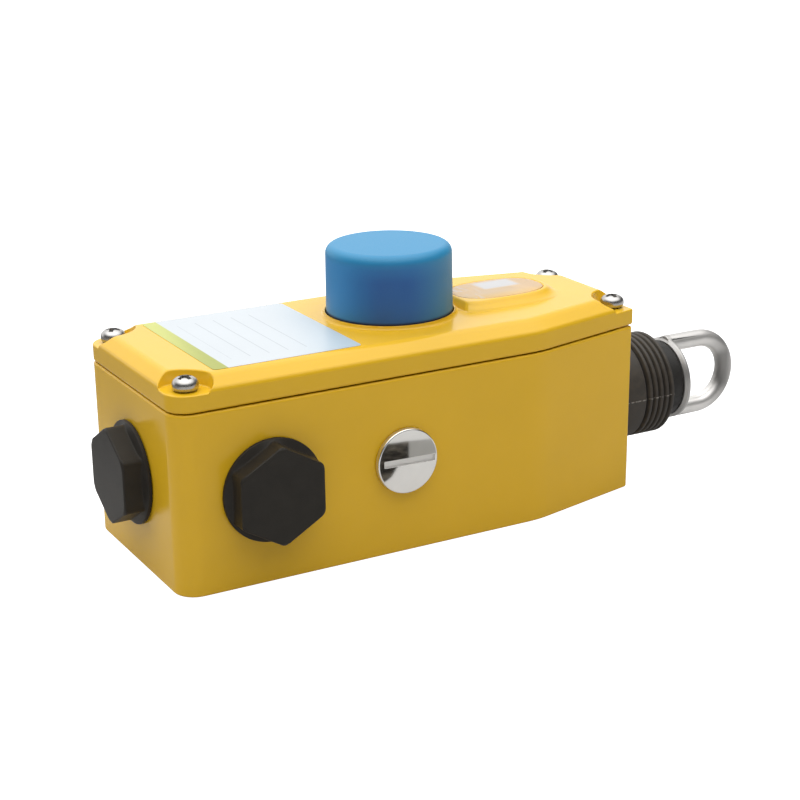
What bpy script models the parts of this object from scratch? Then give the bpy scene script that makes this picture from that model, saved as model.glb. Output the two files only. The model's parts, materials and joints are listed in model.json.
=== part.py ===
"""Rope-pull safety switch, modelled piece by piece in metres with +Z up.

The origin is the centre of the housing's flat bottom face. +X points out along the pulled rope, and the
wall with the conduit plug and the slotted screw faces -Y.
"""

import math

import bmesh
import bpy
from mathutils import Matrix, Vector

MM = 0.001
GAP = 0.3 * MM  # clearance between pieces that touch on the real object
FINE = 32  # sides of the large round pieces
PLAIN = 20  # sides of the middling round pieces
SMALL = 12  # sides of screws and pins

# Housing and lid
LENGTH = 151 * MM
LEFT_END = -75 * MM
ROPE_END = LEFT_END + LENGTH
WIDTH = 64 * MM
BASE_HEIGHT = 51.4 * MM
WALL = 4 * MM
CORNER = 6.4 * MM
END_CORNER = 1.6 * MM
TAPER_START = 37.7 * MM
TAPER_IN = 9 * MM
TAPER_RUN = 37.3 * MM
TAPER_ROUND = 25 * MM
SEAM = 0.5 * MM
LID_SIDE = 5.7 * MM
LID_RISE = 8.8 * MM
BEVEL_SIDE = 4.8 * MM
BEVEL_END = 3.7 * MM
LID_SKIN = 2.8 * MM
GROOVE = (0.7 * MM, 2.3 * MM)  # gasket groove, as insets from the lid's edge
GROOVE_DEPTH = 1.2 * MM
GASKET_END = 70.4 * MM  # the gasket passes inside the screws at the rope end
LEDGE = [(66.5 * MM, 23 * MM), (74 * MM, 21.2 * MM)]  # rim widened under it, as (x, half width)
LEDGE_DEPTH = 9 * MM

# Lid screws and their open corner pockets
SCREW_PLACES = {
    "front_left": (-68.9 * MM, -26.2 * MM),
    "back_left": (-68.9 * MM, 26.2 * MM),
    "front_right": (72.2 * MM, -17.5 * MM),
    "back_right": (72.2 * MM, 17.5 * MM),
}
POCKET_RADIUS = 6.4 * MM
POCKET_FLOOR = BASE_HEIGHT + 5.0 * MM
HEAD_RADIUS = 3.55 * MM
HEAD_HEIGHT = 3.5 * MM
SHANK_RADIUS = 1.9 * MM
SHANK_LENGTH = 16 * MM
PILLAR_RADIUS = 4.6 * MM
PILLAR_HEIGHT = BASE_HEIGHT - SEAM / 2 - WALL / 2 - 0.4 * MM

# Conduit entries, M20, closed by hexagon plugs
ENTRY_HEIGHT = 26.7 * MM
ENTRY_X = -47.9 * MM
ENTRY_RADIUS = 10.3 * MM
PLUG_FLANGE = 14.6 * MM
PLUG_ACROSS_FLATS = 24 * MM
PLUG_FACE = 7.5 * MM
SEAL_SEAT = 1.2 * MM

# Slotted screw on the front wall
SLOT_SCREW = (-7.25 * MM, 27.4 * MM)
SLOT_SCREW_RADIUS = 9.4 * MM
SLOT_WIDTH = 1.9 * MM

# Reset button
RESET_X = 6 * MM
CAP_RADIUS = 18.2 * MM
CAP_LIP = 18.6 * MM
CAP_TOP = 81.0 * MM
CAP_SKIRT = 59.0 * MM
CAP_ROUND = 2.6 * MM
COLLAR_RADIUS = 19.8 * MM
CUP_RADIUS = 20.6 * MM
COLLAR_TOP = 61.7 * MM
WELL_RADIUS = 18.95 * MM
WELL_FLOOR = 52.6 * MM
WELL_SKIN = 2 * MM
STEM_TIP = 46.0 * MM

# Indicator window in its raised boss
WINDOW_X = 42.3 * MM
BOSS_RISE = 2.3 * MM
BOSS_FOOT = (35.4 * MM, 28.2 * MM)
BOSS_CROWN = (31.4 * MM, 20.8 * MM)
LENS = (29.2 * MM, 18.6 * MM)
LENS_THICK = 1.8 * MM
SIGHT = (25 * MM, 14 * MM)

# Rope shaft, boot and eye
ROPE_HEIGHT = 24.1 * MM
SHAFT_RADIUS = 5 * MM
SHAFT_INNER = 0.0
FLANGE_X = 105 * MM
FLANGE_THICK = 2 * MM
FLANGE_RADIUS = 13 * MM
HUB_RADIUS = 8 * MM
HUB_START = 97 * MM
EYE_BAR = 2.75 * MM
EYE_RADIUS = 11.1 * MM
EYE_CENTRE = 118.9 * MM
EYE_STEPS = 14
NECK_RADIUS = 12.6 * MM
NECK_END = 84 * MM
BOOT_RADIUS = 16.1 * MM
BOOT_RIBS = 5
RIB_START = 88.1 * MM
RIB_PITCH = 2.06 * MM
RIB_DEPTH = 1.5 * MM
BOOT_TIP_RADIUS = 12.4 * MM

# Contacts and the cam that works them
CAM_X = (11 * MM, 35 * MM)
CAM_HALF = (13 * MM, 7 * MM)
CAM_Z = (16.5 * MM, 31.7 * MM)
PLUNGER_X = 23 * MM
PLUNGER_RADIUS = 2.2 * MM
PLUNGER_LENGTH = 9.2 * MM
BLOCK_X = (12 * MM, 34 * MM)
BLOCK_Y = (14 * MM, 27 * MM)
BLOCK_Z = (6.9 * MM, 38 * MM)
PLATE_Z = (4.3 * MM, 6.3 * MM)

# Latch lever under the reset stem
LATCH_PIVOT = (-11 * MM, 44 * MM)
LEVER_TOP = STEM_TIP - GAP


def clear_scene():
    for obj in list(bpy.data.objects):
        bpy.data.objects.remove(obj)


def new_collection(name):
    group = bpy.data.collections.new(name)
    bpy.context.scene.collection.children.link(group)
    return group


def finish(name, colour, roughness, metallic=0.0):
    """A Principled material."""
    look = bpy.data.materials.new(name)
    look.use_nodes = True
    shader = look.node_tree.nodes["Principled BSDF"]
    shader.inputs["Base Color"].default_value = (*colour, 1.0)
    shader.inputs["Roughness"].default_value = roughness
    shader.inputs["Metallic"].default_value = metallic
    return look


clear_scene()
PARTS = new_collection("rope_pull_switch")
CUTTERS = new_collection("cutters")
YELLOW = finish("yellow_enamel", (0.78, 0.48, 0.04), 0.42)
BLACK = finish("black_polyamide", (0.03, 0.03, 0.03), 0.5)
BLUE = finish("blue_plastic", (0.06, 0.33, 0.66), 0.45)
RUBBER = finish("grey_rubber", (0.08, 0.075, 0.07), 0.75)
STEEL = finish("bright_steel", (0.72, 0.71, 0.69), 0.22, 1.0)
CLEAR = finish("window_plastic", (0.85, 0.78, 0.72), 0.12)
WHITE = finish("white_plastic", (0.85, 0.85, 0.82), 0.5)
GREEN = finish("green_plastic", (0.1, 0.45, 0.15), 0.5)
BRASS = finish("brass", (0.75, 0.55, 0.25), 0.3, 1.0)
DARK = finish("contact_block_plastic", (0.12, 0.12, 0.13), 0.55)


def add(name, mesh, look=None):
    """An object for the mesh: a part when it has a material, otherwise a cutter or a shape to join."""
    obj = bpy.data.objects.new(name, mesh)
    (PARTS if look else CUTTERS).objects.link(obj)
    if look:
        mesh.materials.clear()
        mesh.materials.append(look)
    else:
        obj.hide_render = True
        obj.display_type = "WIRE"
    return obj


def smooth(mesh, angle=math.radians(35)):
    mesh.shade_smooth()
    mesh.set_sharp_from_angle(angle=angle)


def mesh_of(name, bm):
    """The mesh of a closed bmesh, with its faces pointing out."""
    bmesh.ops.recalc_face_normals(bm, faces=bm.faces)
    mesh = bpy.data.meshes.new(name)
    bm.to_mesh(mesh)
    bm.free()
    return mesh


def evaluated_mesh(obj):
    """The object's mesh as its modifiers or its curve bevel make it, welded shut."""
    bpy.context.view_layer.update()
    graph = bpy.context.evaluated_depsgraph_get()
    mesh = bpy.data.meshes.new_from_object(obj.evaluated_get(graph))
    bm = bmesh.new()
    bm.from_mesh(mesh)
    bmesh.ops.remove_doubles(bm, verts=bm.verts, dist=0.001 * MM)
    bpy.data.meshes.remove(mesh)
    return mesh_of(obj.name, bm)


def box(name, low, high, look=None):
    bm = bmesh.new()
    bmesh.ops.create_cube(bm, size=1.0)
    size = Vector(high) - Vector(low)
    middle = (Vector(high) + Vector(low)) / 2
    bmesh.ops.transform(bm, matrix=Matrix.Diagonal((*size, 1.0)), verts=bm.verts)
    obj = add(name, mesh_of(name, bm), look)
    obj.location = middle
    return obj


def aim(obj, base, axis):
    """Put the object at base with its local Z along axis."""
    obj.location = base
    obj.rotation_euler = Vector((0, 0, 1)).rotation_difference(Vector(axis)).to_euler()
    return obj


def rod(name, base, axis, radius, length, look=None, sides=PLAIN):
    bm = bmesh.new()
    bmesh.ops.create_cone(
        bm, cap_ends=True, segments=sides, radius1=radius, radius2=radius, depth=length
    )
    bmesh.ops.translate(bm, vec=(0, 0, length / 2), verts=bm.verts)
    mesh = mesh_of(name, bm)
    smooth(mesh)
    return aim(add(name, mesh, look), base, axis)


def post(name, foot, radius, height, look=None):
    """A small upright rod."""
    return rod(name, foot, (0, 0, 1), radius, height, look, SMALL)


def turned(name, profile, base, axis, look=None, sides=PLAIN):
    """A solid turned about axis. The profile holds (radius, height) pairs down the outer side, and on
    a ring it closes up the bore."""
    mesh = bpy.data.meshes.new(name)
    closed = profile[0][0] > 0 or profile[-1][0] > 0
    edges = [(i, i + 1) for i in range(len(profile) - 1)]
    if closed:
        edges.append((len(profile) - 1, 0))
    mesh.from_pydata([(radius, 0, height) for radius, height in profile], edges, [])
    obj = add(name, mesh)
    turn = obj.modifiers.new("turn", "SCREW")
    turn.steps = sides
    turn.render_steps = sides
    turn.use_merge_vertices = True
    turn.merge_threshold = 0.001 * MM
    solid = evaluated_mesh(obj)
    bpy.data.objects.remove(obj)
    smooth(solid)
    return aim(add(name, solid, look), base, axis)


def prism(name, outline, low, high, look=None):
    """A flat outline in X and Y, extruded from z = low to z = high."""
    curve = bpy.data.curves.new(name, "CURVE")
    curve.dimensions = "2D"
    curve.fill_mode = "BOTH"
    curve.extrude = (high - low) / 2
    spline = curve.splines.new("POLY")
    spline.points.add(len(outline) - 1)
    for point, (x, y) in zip(spline.points, outline):
        point.co = (x, y, 0, 1)
    spline.use_cyclic_u = True
    guide = add(name, curve)
    solid = evaluated_mesh(guide)
    bpy.data.objects.remove(guide)
    obj = add(name, solid, look)
    obj.location.z = (high + low) / 2
    return obj


def loft(name, rings, look=None):
    """A closed solid through rings of matching points, each ring an outline and its height."""
    bm = bmesh.new()
    loops = [[bm.verts.new((x, y, z)) for x, y in outline] for outline, z in rings]
    for below, above in zip(loops, loops[1:]):
        for i in range(len(below)):
            j = (i + 1) % len(below)
            bm.faces.new((below[i], below[j], above[j], above[i]))
    bm.faces.new(loops[0][::-1])
    bm.faces.new(loops[-1])
    mesh = mesh_of(name, bm)
    smooth(mesh)
    return add(name, mesh, look)


def tube(name, points, radius, look=None, resolution=2):
    """A round bar along points."""
    curve = bpy.data.curves.new(name, "CURVE")
    curve.dimensions = "3D"
    curve.bevel_depth = radius
    curve.bevel_resolution = resolution
    curve.use_fill_caps = True
    spline = curve.splines.new("POLY")
    spline.points.add(len(points) - 1)
    for point, place in zip(spline.points, points):
        point.co = (*place, 1)
    guide = add(name, curve)
    solid = evaluated_mesh(guide)
    bpy.data.objects.remove(guide)
    smooth(solid)
    return add(name, solid, look)


def boolean(target, operation, others):
    for other in others:
        step = target.modifiers.new(operation.lower(), "BOOLEAN")
        step.operation = operation
        step.object = other
    return target


def cut(target, *others):
    return boolean(target, "DIFFERENCE", others)


def join(target, *others):
    return boolean(target, "UNION", others)


def carry(parent_name, place, pieces):
    """Parent moving pieces to an empty on their joint's axis, leaving them where they are."""
    empty = bpy.data.objects.new(parent_name, None)
    empty.location = place
    PARTS.objects.link(empty)
    for piece in pieces:
        piece.parent = empty
        piece.matrix_parent_inverse = Matrix.Translation(-Vector(place))


def rounded(corners, steps=3):
    """A closed outline from (x, y, fillet radius) corners, with an arc at each."""
    outline = []
    for i, (x, y, radius) in enumerate(corners):
        here = Vector((x, y))
        before = (Vector(corners[i - 1][:2]) - here).normalized()
        after = (Vector(corners[(i + 1) % len(corners)][:2]) - here).normalized()
        half = before.angle(after) / 2
        centre = here + (before + after).normalized() * radius / math.sin(half)
        first = here + before * radius / math.tan(half) - centre
        sweep = (math.pi - 2 * half) * (1 if first.cross(here - centre) > 0 else -1)
        for k in range(steps + 1):
            turn = Matrix.Rotation(sweep * k / steps, 2)
            outline.append(tuple(centre + turn @ first))
    return outline


def oval(size, centre_x, steps=28, power=2.6):
    """A full-cornered oval outline of the given length and width."""
    points = []
    for k in range(steps):
        angle = 2 * math.pi * k / steps
        c, s = math.cos(angle), math.sin(angle)
        x = math.copysign(abs(c) ** (2 / power), c) * size[0] / 2
        y = math.copysign(abs(s) ** (2 / power), s) * size[1] / 2
        points.append((centre_x + x, y))
    return points


def body_outline(side, end=None, left=LEFT_END, right=ROPE_END):
    """The housing's plan, drawn in by side on its long walls and by end on its short ones."""
    end = side if end is None else end
    lean = math.atan2(TAPER_IN, TAPER_RUN)
    half = WIDTH / 2 - side
    kink = TAPER_START - side * math.tan(lean / 2)
    tip_x = right - end
    tip = half - (tip_x - kink) * math.tan(lean)
    round_left = max(CORNER - side, 1 * MM)
    round_right = max(END_CORNER - side, 0.4 * MM)
    lower = [(left + end, -half, round_left), (kink, -half, TAPER_ROUND), (tip_x, -tip, round_right)]
    upper = [(x, -y, radius) for x, y, radius in reversed(lower)]
    return rounded(lower + upper)


def corner_way(place):
    """The direction in plan from a lid screw to its own corner."""
    return Vector((math.copysign(1, place[0]), math.copysign(1, place[1]), 0)).normalized()


def make_base():
    rings = [
        (body_outline(1.5 * MM), 0),
        (body_outline(0.45 * MM), 0.45 * MM),
        (body_outline(0), 1.5 * MM),
        (body_outline(0), BASE_HEIGHT - SEAM / 2 - 0.7 * MM),
        (body_outline(0.6 * MM), BASE_HEIGHT - SEAM / 2),
    ]
    base = loft("housing_base", rings, YELLOW)
    cut(base, prism("base_room", body_outline(WALL), WALL, BASE_HEIGHT + 5 * MM))
    for name, (x, y) in SCREW_PLACES.items():
        inside = min(x, ROPE_END - PILLAR_RADIUS - 0.4 * MM)
        join(base, post(f"pillar_{name}", (inside, y, WALL / 2), PILLAR_RADIUS, PILLAR_HEIGHT))
    rim = WALL / 2 + PILLAR_HEIGHT + 0.2 * MM
    ledge = [(x, -y) for x, y in LEDGE] + [(x, y) for x, y in reversed(LEDGE)]
    join(base, prism("gasket_ledge", ledge, rim - LEDGE_DEPTH, rim))
    for i, (x, y) in enumerate(MOUNT_BOSSES):
        join(base, post(f"mount_boss_{i}", (x, y, WALL / 2), 5 * MM, 10 * MM))
    x, y = EARTH_PLACE
    join(base, post("earth_boss", (x, y, WALL / 2), 4.5 * MM, 7 * MM))
    neck_start = ROPE_END - WALL / 2
    neck = (neck_start, 0, ROPE_HEIGHT)
    join(base, rod("neck", neck, (1, 0, 0), NECK_RADIUS, NECK_END - neck_start))
    for name, (x, y) in SCREW_PLACES.items():
        hole_floor = POCKET_FLOOR - SHANK_LENGTH - 1 * MM
        cut(base, post(f"pillar_hole_{name}", (x, y, hole_floor), SHANK_RADIUS + GAP, 30 * MM))
    for i, (x, y) in enumerate(MOUNT_BOSSES):
        cut(base, post(f"mount_hole_{i}", (x, y, -1 * MM), 2.1 * MM, 10 * MM))
    x, y = EARTH_PLACE
    cut(base, post("earth_hole", (x, y, 3 * MM), 2.0 * MM, 10 * MM))
    for i, (x, y) in enumerate(PLATE_SCREWS):
        cut(base, post(f"plate_hole_{i}", (x, y, 1.4 * MM), 1.8 * MM, 10 * MM))
    for name, (place, out) in ENTRIES.items():
        inner = Vector(place) - Vector(out) * 2 * WALL
        cut(base, rod(f"entry_{name}", inner, out, ENTRY_RADIUS, 3 * WALL))
        seat = Vector(place) - Vector(out) * SEAL_SEAT
        cut(base, rod(f"entry_seat_{name}", seat, out, 13.3 * MM, 2 * WALL))
    x, z = SLOT_SCREW
    front = -WIDTH / 2
    cut(base, rod("slot_screw_hole", (x, front + 2 * WALL, z), (0, -1, 0), 6.3 * MM, 3 * WALL))
    cut(base, rod("slot_screw_seat", (x, front + SEAL_SEAT, z), (0, -1, 0), 8.3 * MM, 2 * WALL))
    bore_start = ROPE_END - 2 * WALL
    bore = (bore_start, 0, ROPE_HEIGHT)
    cut(base, rod("neck_bore", bore, (1, 0, 0), 7.3 * MM, NECK_END - bore_start + WALL))


def make_lid():
    low = BASE_HEIGHT + SEAM / 2
    plateau = BASE_HEIGHT + LID_RISE
    rings = [
        (body_outline(0.4 * MM), low),
        (body_outline(0), low + 0.5 * MM),
        (body_outline(0), BASE_HEIGHT + LID_SIDE),
        (body_outline(0.4 * MM), BASE_HEIGHT + LID_SIDE + 0.5 * MM),
        (body_outline(BEVEL_SIDE - 0.9 * MM, BEVEL_END - 0.9 * MM), plateau - 0.4 * MM),
        (body_outline(BEVEL_SIDE, BEVEL_END), plateau),
    ]
    lid = loft("lid", rings, YELLOW)
    room = body_outline(BEVEL_SIDE, left=-60 * MM - BEVEL_SIDE, right=61 * MM + BEVEL_SIDE)
    cut(lid, prism("lid_room", room, low - 2 * MM, plateau - LID_SKIN))
    middle = (RESET_X, 0, 0)
    rim = 0.6 * MM
    cup = [(0, COLLAR_TOP), (COLLAR_RADIUS - rim, COLLAR_TOP), (COLLAR_RADIUS, COLLAR_TOP - rim)]
    cup += [(COLLAR_RADIUS, plateau - 1 * MM), (CUP_RADIUS, plateau - 1 * MM)]
    cup += [(CUP_RADIUS, WELL_FLOOR - WELL_SKIN), (0, WELL_FLOOR - WELL_SKIN)]
    join(lid, turned("collar_cup", cup, middle, (0, 0, 1), sides=FINE))
    foot = boss_outline(BOSS_FOOT)
    crown = boss_outline(BOSS_CROWN)
    boss = [(foot, plateau - 1 * MM), (foot, plateau), (crown, plateau + BOSS_RISE)]
    join(lid, loft("window_boss", boss))
    cut(lid, rod("well", (RESET_X, 0, WELL_FLOOR), (0, 0, 1), WELL_RADIUS, 20 * MM, sides=FINE))
    cut(lid, post("stem_hole", (RESET_X, 0, WELL_FLOOR - 2 * WELL_SKIN), 6.3 * MM, 4 * WELL_SKIN))
    lens_seat = plateau + BOSS_RISE - LENS_THICK - GAP
    seat_size = (LENS[0] + 2 * GAP, LENS[1] + 2 * GAP)
    cut(lid, prism("lens_seat", oval(seat_size, WINDOW_X), lens_seat, plateau + 9 * MM))
    cut(lid, prism("sight_hole", oval(SIGHT, WINDOW_X), low, plateau + 9 * MM))
    for name, place in SCREW_PLACES.items():
        way = corner_way(place)
        side = Vector((-way.y, way.x, 0))
        centre = Vector((*place, 0))
        start = [centre + side * POCKET_RADIUS, centre - side * POCKET_RADIUS]
        far = [point + way * 12 * MM for point in reversed(start)]
        strip = [(p.x, p.y) for p in start + far]
        cut(lid, prism(f"pocket_way_{name}", strip, POCKET_FLOOR, plateau + 5 * MM))
        cut(lid, rod(f"pocket_{name}", (*place, POCKET_FLOOR), (0, 0, 1), POCKET_RADIUS, 10 * MM))
        cut(lid, post(f"lid_hole_{name}", (*place, low - 2 * MM), SHANK_RADIUS + GAP, 9 * MM))
    outer, inner = (body_outline(inset, right=GASKET_END) for inset in GROOVE)
    groove = prism("groove_outer", outer, low - 1 * MM, low + GROOVE_DEPTH)
    cut(groove, prism("groove_core", inner, low - 2 * MM, low + 2 * GROOVE_DEPTH))
    cut(lid, groove)
    outer = body_outline(GROOVE[0] + GAP, right=GASKET_END)
    inner = body_outline(GROOVE[1] - GAP, right=GASKET_END)
    gasket = prism("lid_gasket", outer, BASE_HEIGHT, low + GROOVE_DEPTH - GAP, RUBBER)
    cut(gasket, prism("gasket_core", inner, low - 2 * MM, low + 2 * GROOVE_DEPTH))


def boss_outline(size):
    """The window boss's plan: round towards the rope and cut straight at the end that faces the cap."""
    stop = WINDOW_X - size[0] * 0.49
    outline = []
    for far, full in zip(oval(size, WINDOW_X, power=2.4), oval(size, WINDOW_X, power=7)):
        x, y = far if far[0] >= WINDOW_X else full
        outline.append((max(x, stop), y))
    return outline


def make_lid_screws():
    under = POCKET_FLOOR + GAP
    edge = under + 0.9 * MM
    dome = [(0, under + HEAD_HEIGHT)]
    for k in range(1, 4):
        angle = math.radians(90 - 30 * k)
        dome.append((HEAD_RADIUS * math.cos(angle), edge + (HEAD_HEIGHT - 0.9 * MM) * math.sin(angle)))
    tip = under - SHANK_LENGTH
    shank = [(HEAD_RADIUS, under), (SHANK_RADIUS, under), (SHANK_RADIUS, tip + 0.8 * MM)]
    shank += [(SHANK_RADIUS - 0.8 * MM, tip), (0, tip)]
    for name, (x, y) in SCREW_PLACES.items():
        screw = turned(f"lid_screw_{name}", dome + shank, (x, y, 0), (0, 0, 1), STEEL, SMALL)
        cut(screw, rod(f"lid_socket_{name}", (x, y, edge), (0, 0, 1), 1.5 * MM, 5 * MM, sides=6))


def make_plugs():
    inner_end = -10 * MM
    bore = 7.5 * MM
    thread = ENTRY_RADIUS - GAP
    body = [(0, 2 * MM), (PLUG_FLANGE - 1.4 * MM, 2 * MM), (PLUG_FLANGE, 1.3 * MM)]
    body += [(PLUG_FLANGE, GAP), (thread, GAP), (thread, inner_end), (bore, inner_end), (bore, 1 * MM)]
    body += [(0, 1 * MM)]
    corner = PLUG_ACROSS_FLATS / math.cos(math.pi / 6) / 2
    face = corner - 0.9 * MM
    outside = corner + 0.3 * MM
    chamfer = [(0, PLUG_FACE), (face, PLUG_FACE), (outside, PLUG_FACE - 0.9 * MM)]
    chamfer += [(outside, 1.5 * MM), (0, 1.5 * MM)]
    ring = [(13 * MM, -GAP), (13 * MM, GAP - SEAL_SEAT), (ENTRY_RADIUS + GAP, GAP - SEAL_SEAT)]
    ring += [(ENTRY_RADIUS + GAP, -GAP)]
    for name, (place, out) in ENTRIES.items():
        plug = turned(f"conduit_plug_{name}", body, place, out, BLACK, sides=FINE)
        hexagon = rod(f"hexagon_{name}", place, out, corner, 12 * MM, sides=6)
        hexagon.data.transform(Matrix.Rotation(HEX_TURN[name], 4, "Z"))
        boolean(hexagon, "INTERSECT", [turned(f"hex_chamfer_{name}", chamfer, place, out)])
        join(plug, hexagon)
        turned(f"plug_seal_{name}", ring, place, out, RUBBER)


def make_slot_screw():
    x, z = SLOT_SCREW
    place = (x, -WIDTH / 2, z)
    head = 1.9 * MM
    profile = [(0, head - 0.2 * MM), (SLOT_SCREW_RADIUS - 1.6 * MM, head - 0.2 * MM)]
    profile += [(SLOT_SCREW_RADIUS - 0.8 * MM, head), (SLOT_SCREW_RADIUS, head - 0.7 * MM)]
    profile += [(SLOT_SCREW_RADIUS, GAP), (6 * MM, GAP), (6 * MM, -6 * MM), (0, -6 * MM)]
    screw = turned("slot_screw", profile, place, (0, -1, 0), STEEL, sides=FINE)
    half = SLOT_WIDTH / 2
    low = (x - SLOT_SCREW_RADIUS - 1 * MM, -WIDTH / 2 - 4 * MM, z - half)
    high = (x + SLOT_SCREW_RADIUS + 1 * MM, -WIDTH / 2 - 0.9 * MM, z + half)
    cut(screw, box("slot", low, high))
    ring = [(8 * MM, 0), (8 * MM, GAP - SEAL_SEAT), (6.4 * MM, GAP - SEAL_SEAT), (6.4 * MM, 0)]
    turned("slot_screw_seal", ring, place, (0, -1, 0), RUBBER)


def make_window():
    top = BASE_HEIGHT + LID_RISE + BOSS_RISE
    low = top - LENS_THICK
    shrunk = (LENS[0] - 1 * MM, LENS[1] - 1 * MM)
    edge = oval(LENS, WINDOW_X)
    rings = [(edge, low), (edge, top - 0.2 * MM), (oval(shrunk, WINDOW_X), top + 0.2 * MM)]
    loft("window_lens", rings, CLEAR)
    under = BASE_HEIGHT + LID_RISE - LID_SKIN - GAP
    left = WINDOW_X - 14.4 * MM
    right = WINDOW_X + 16 * MM
    plate = box("indicator_plate", (left, -11 * MM, under - 0.8 * MM), (right, 11 * MM, under), WHITE)
    slot_low = (WINDOW_X - 12 * MM, -3 * MM, under - 3 * MM)
    slot_high = (WINDOW_X + 12 * MM, 3 * MM, under + 3 * MM)
    cut(plate, box("indicator_slot", slot_low, slot_high))


def coil(radius, low, high, turns, wire, steps=8):
    """Points up a helix along +Z."""
    count = turns * steps
    points = []
    for k in range(count + 1):
        angle = 2 * math.pi * k / steps
        height = low + wire + (high - low - 2 * wire) * k / count
        points.append(Vector((radius * math.cos(angle), radius * math.sin(angle), height)))
    pitch = (high - low - 2 * wire) / turns
    print(f"coil of {turns} turns: least gap between turns {1000 * (pitch - 2 * wire):.2f} mm")
    return points


def make_reset_button():
    axis = (0, 0, 1)
    place = (RESET_X, 0, 0)
    wall = 2.4 * MM
    lip = COLLAR_TOP + 0.5 * MM
    ceiling = CAP_TOP - 3 * MM
    socket = (4.3 * MM, 6.5 * MM)
    socket_end = CAP_TOP - 9 * MM
    cap = [(0, CAP_TOP)]
    for k in range(4):
        angle = math.radians(90 - 30 * k)
        inward = CAP_ROUND * (1 - math.cos(angle))
        cap.append((CAP_RADIUS - inward, CAP_TOP - CAP_ROUND * (1 - math.sin(angle))))
    cap += [(CAP_RADIUS + 0.1 * MM, lip + 3 * MM), (CAP_LIP, lip), (CAP_LIP, CAP_SKIRT)]
    cap += [(CAP_LIP - wall, CAP_SKIRT), (CAP_RADIUS - wall, ceiling), (socket[1], ceiling)]
    socket_top = CAP_TOP - 4 * MM
    cap += [(socket[1], socket_end), (socket[0], socket_end), (socket[0], socket_top), (0, socket_top)]
    reset_cap = turned("reset_cap", cap, place, axis, BLUE, sides=FINE)
    top = socket_top - GAP
    stem = [(0, top), (4 * MM, top), (4 * MM, top - 14 * MM), (3.5 * MM, top - 14.5 * MM)]
    stem += [(3.5 * MM, STEM_TIP + 2.8 * MM), (1 * MM, STEM_TIP), (0, STEM_TIP)]
    reset_stem = turned("reset_stem", stem, place, axis, STEEL, SMALL)
    bush_low = WELL_FLOOR - WELL_SKIN
    bush_top = WELL_FLOOR + 1.5 * MM
    bush = [(8.5 * MM, bush_top), (8.5 * MM, WELL_FLOOR + GAP), (6 * MM, WELL_FLOOR + GAP)]
    bush += [(6 * MM, bush_low), (3.9 * MM, bush_low), (3.9 * MM, bush_top)]
    turned("reset_bush", bush, place, axis, BLACK, SMALL)
    clip_top = bush_low - 0.4 * MM
    clip_low = clip_top - 0.8 * MM
    clip = [(5.5 * MM, clip_top), (5.5 * MM, clip_low), (3.8 * MM, clip_low), (3.8 * MM, clip_top)]
    stem_clip = turned("stem_clip", clip, place, axis, STEEL, SMALL)
    points = coil(10.5 * MM, WELL_FLOOR + GAP, ceiling - GAP, 5, 0.7 * MM)
    spring = tube("reset_spring", points, 0.7 * MM, STEEL, resolution=1)
    spring.location = place
    carry("reset_axis", place, [reset_cap, reset_stem, stem_clip, spring])


def make_rope_end():
    axis = (1, 0, 0)
    place = (0, 0, ROPE_HEIGHT)
    eye_front = FLANGE_X + FLANGE_THICK
    body = [(0, eye_front), (FLANGE_RADIUS - 0.7 * MM, eye_front), (FLANGE_RADIUS, eye_front - 0.7 * MM)]
    body += [(FLANGE_RADIUS, FLANGE_X), (HUB_RADIUS, FLANGE_X), (HUB_RADIUS, HUB_START)]
    body += [(SHAFT_RADIUS + GAP, HUB_START), (SHAFT_RADIUS + GAP, FLANGE_X), (0, FLANGE_X)]
    flange = turned("rope_eye", body, place, axis, STEEL, sides=FINE)
    leg = FLANGE_X + 0.6 * MM
    path = [(leg, 0, ROPE_HEIGHT + EYE_RADIUS)]
    for k in range(EYE_STEPS + 1):
        angle = math.radians(90 - 180 * k / EYE_STEPS)
        out, up = EYE_RADIUS * math.cos(angle), EYE_RADIUS * math.sin(angle)
        path.append((EYE_CENTRE + out, 0, ROPE_HEIGHT + up))
    path.append((leg, 0, ROPE_HEIGHT - EYE_RADIUS))
    join(flange, tube("eye_bar", path, EYE_BAR, resolution=3))
    shaft_tip = FLANGE_X - GAP
    shaft = [(0, shaft_tip), (SHAFT_RADIUS, shaft_tip), (SHAFT_RADIUS, SHAFT_INNER), (0, SHAFT_INNER)]
    pull_shaft = turned("pull_shaft", shaft, place, axis, STEEL)
    wall_inside = ROPE_END - WALL
    around = SHAFT_RADIUS + GAP
    bush = [(7 * MM, NECK_END), (7 * MM, wall_inside - GAP), (9.5 * MM, wall_inside - GAP)]
    bush += [(9.5 * MM, wall_inside - 1.8 * MM), (around, wall_inside - 1.8 * MM), (around, NECK_END)]
    turned("shaft_bush", bush, place, axis, BRASS)
    make_boot(place, axis)
    nut = rod("shaft_nut", (1 * MM, 0, ROPE_HEIGHT), axis, 7 * MM, 6 * MM, STEEL, sides=6)
    cut(nut, rod("nut_bore", (-5 * MM, 0, ROPE_HEIGHT), axis, around, 20 * MM))
    washer = [(9 * MM, 9.2 * MM), (9 * MM, 7.7 * MM), (around, 7.7 * MM), (around, 9.2 * MM)]
    shaft_washer = turned("shaft_washer", washer, place, axis, STEEL)
    seat_high = wall_inside - 2.2 * MM
    seat_low = seat_high - 1.5 * MM
    seat = [(12 * MM, seat_high), (12 * MM, seat_low), (6 * MM, seat_low), (6 * MM, seat_high)]
    turned("spring_seat", seat, place, axis, STEEL)
    points = coil(9 * MM, CAM_X[1] + GAP, seat_low - GAP, 6, 1.1 * MM)
    spring = tube("return_spring", points, 1.1 * MM, STEEL, resolution=1)
    aim(spring, place, axis)
    slider = make_cam()
    pointer = make_pointer()
    carry("rope_axis", place, [flange, pull_shaft, nut, shaft_washer, slider, pointer, spring])


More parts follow.
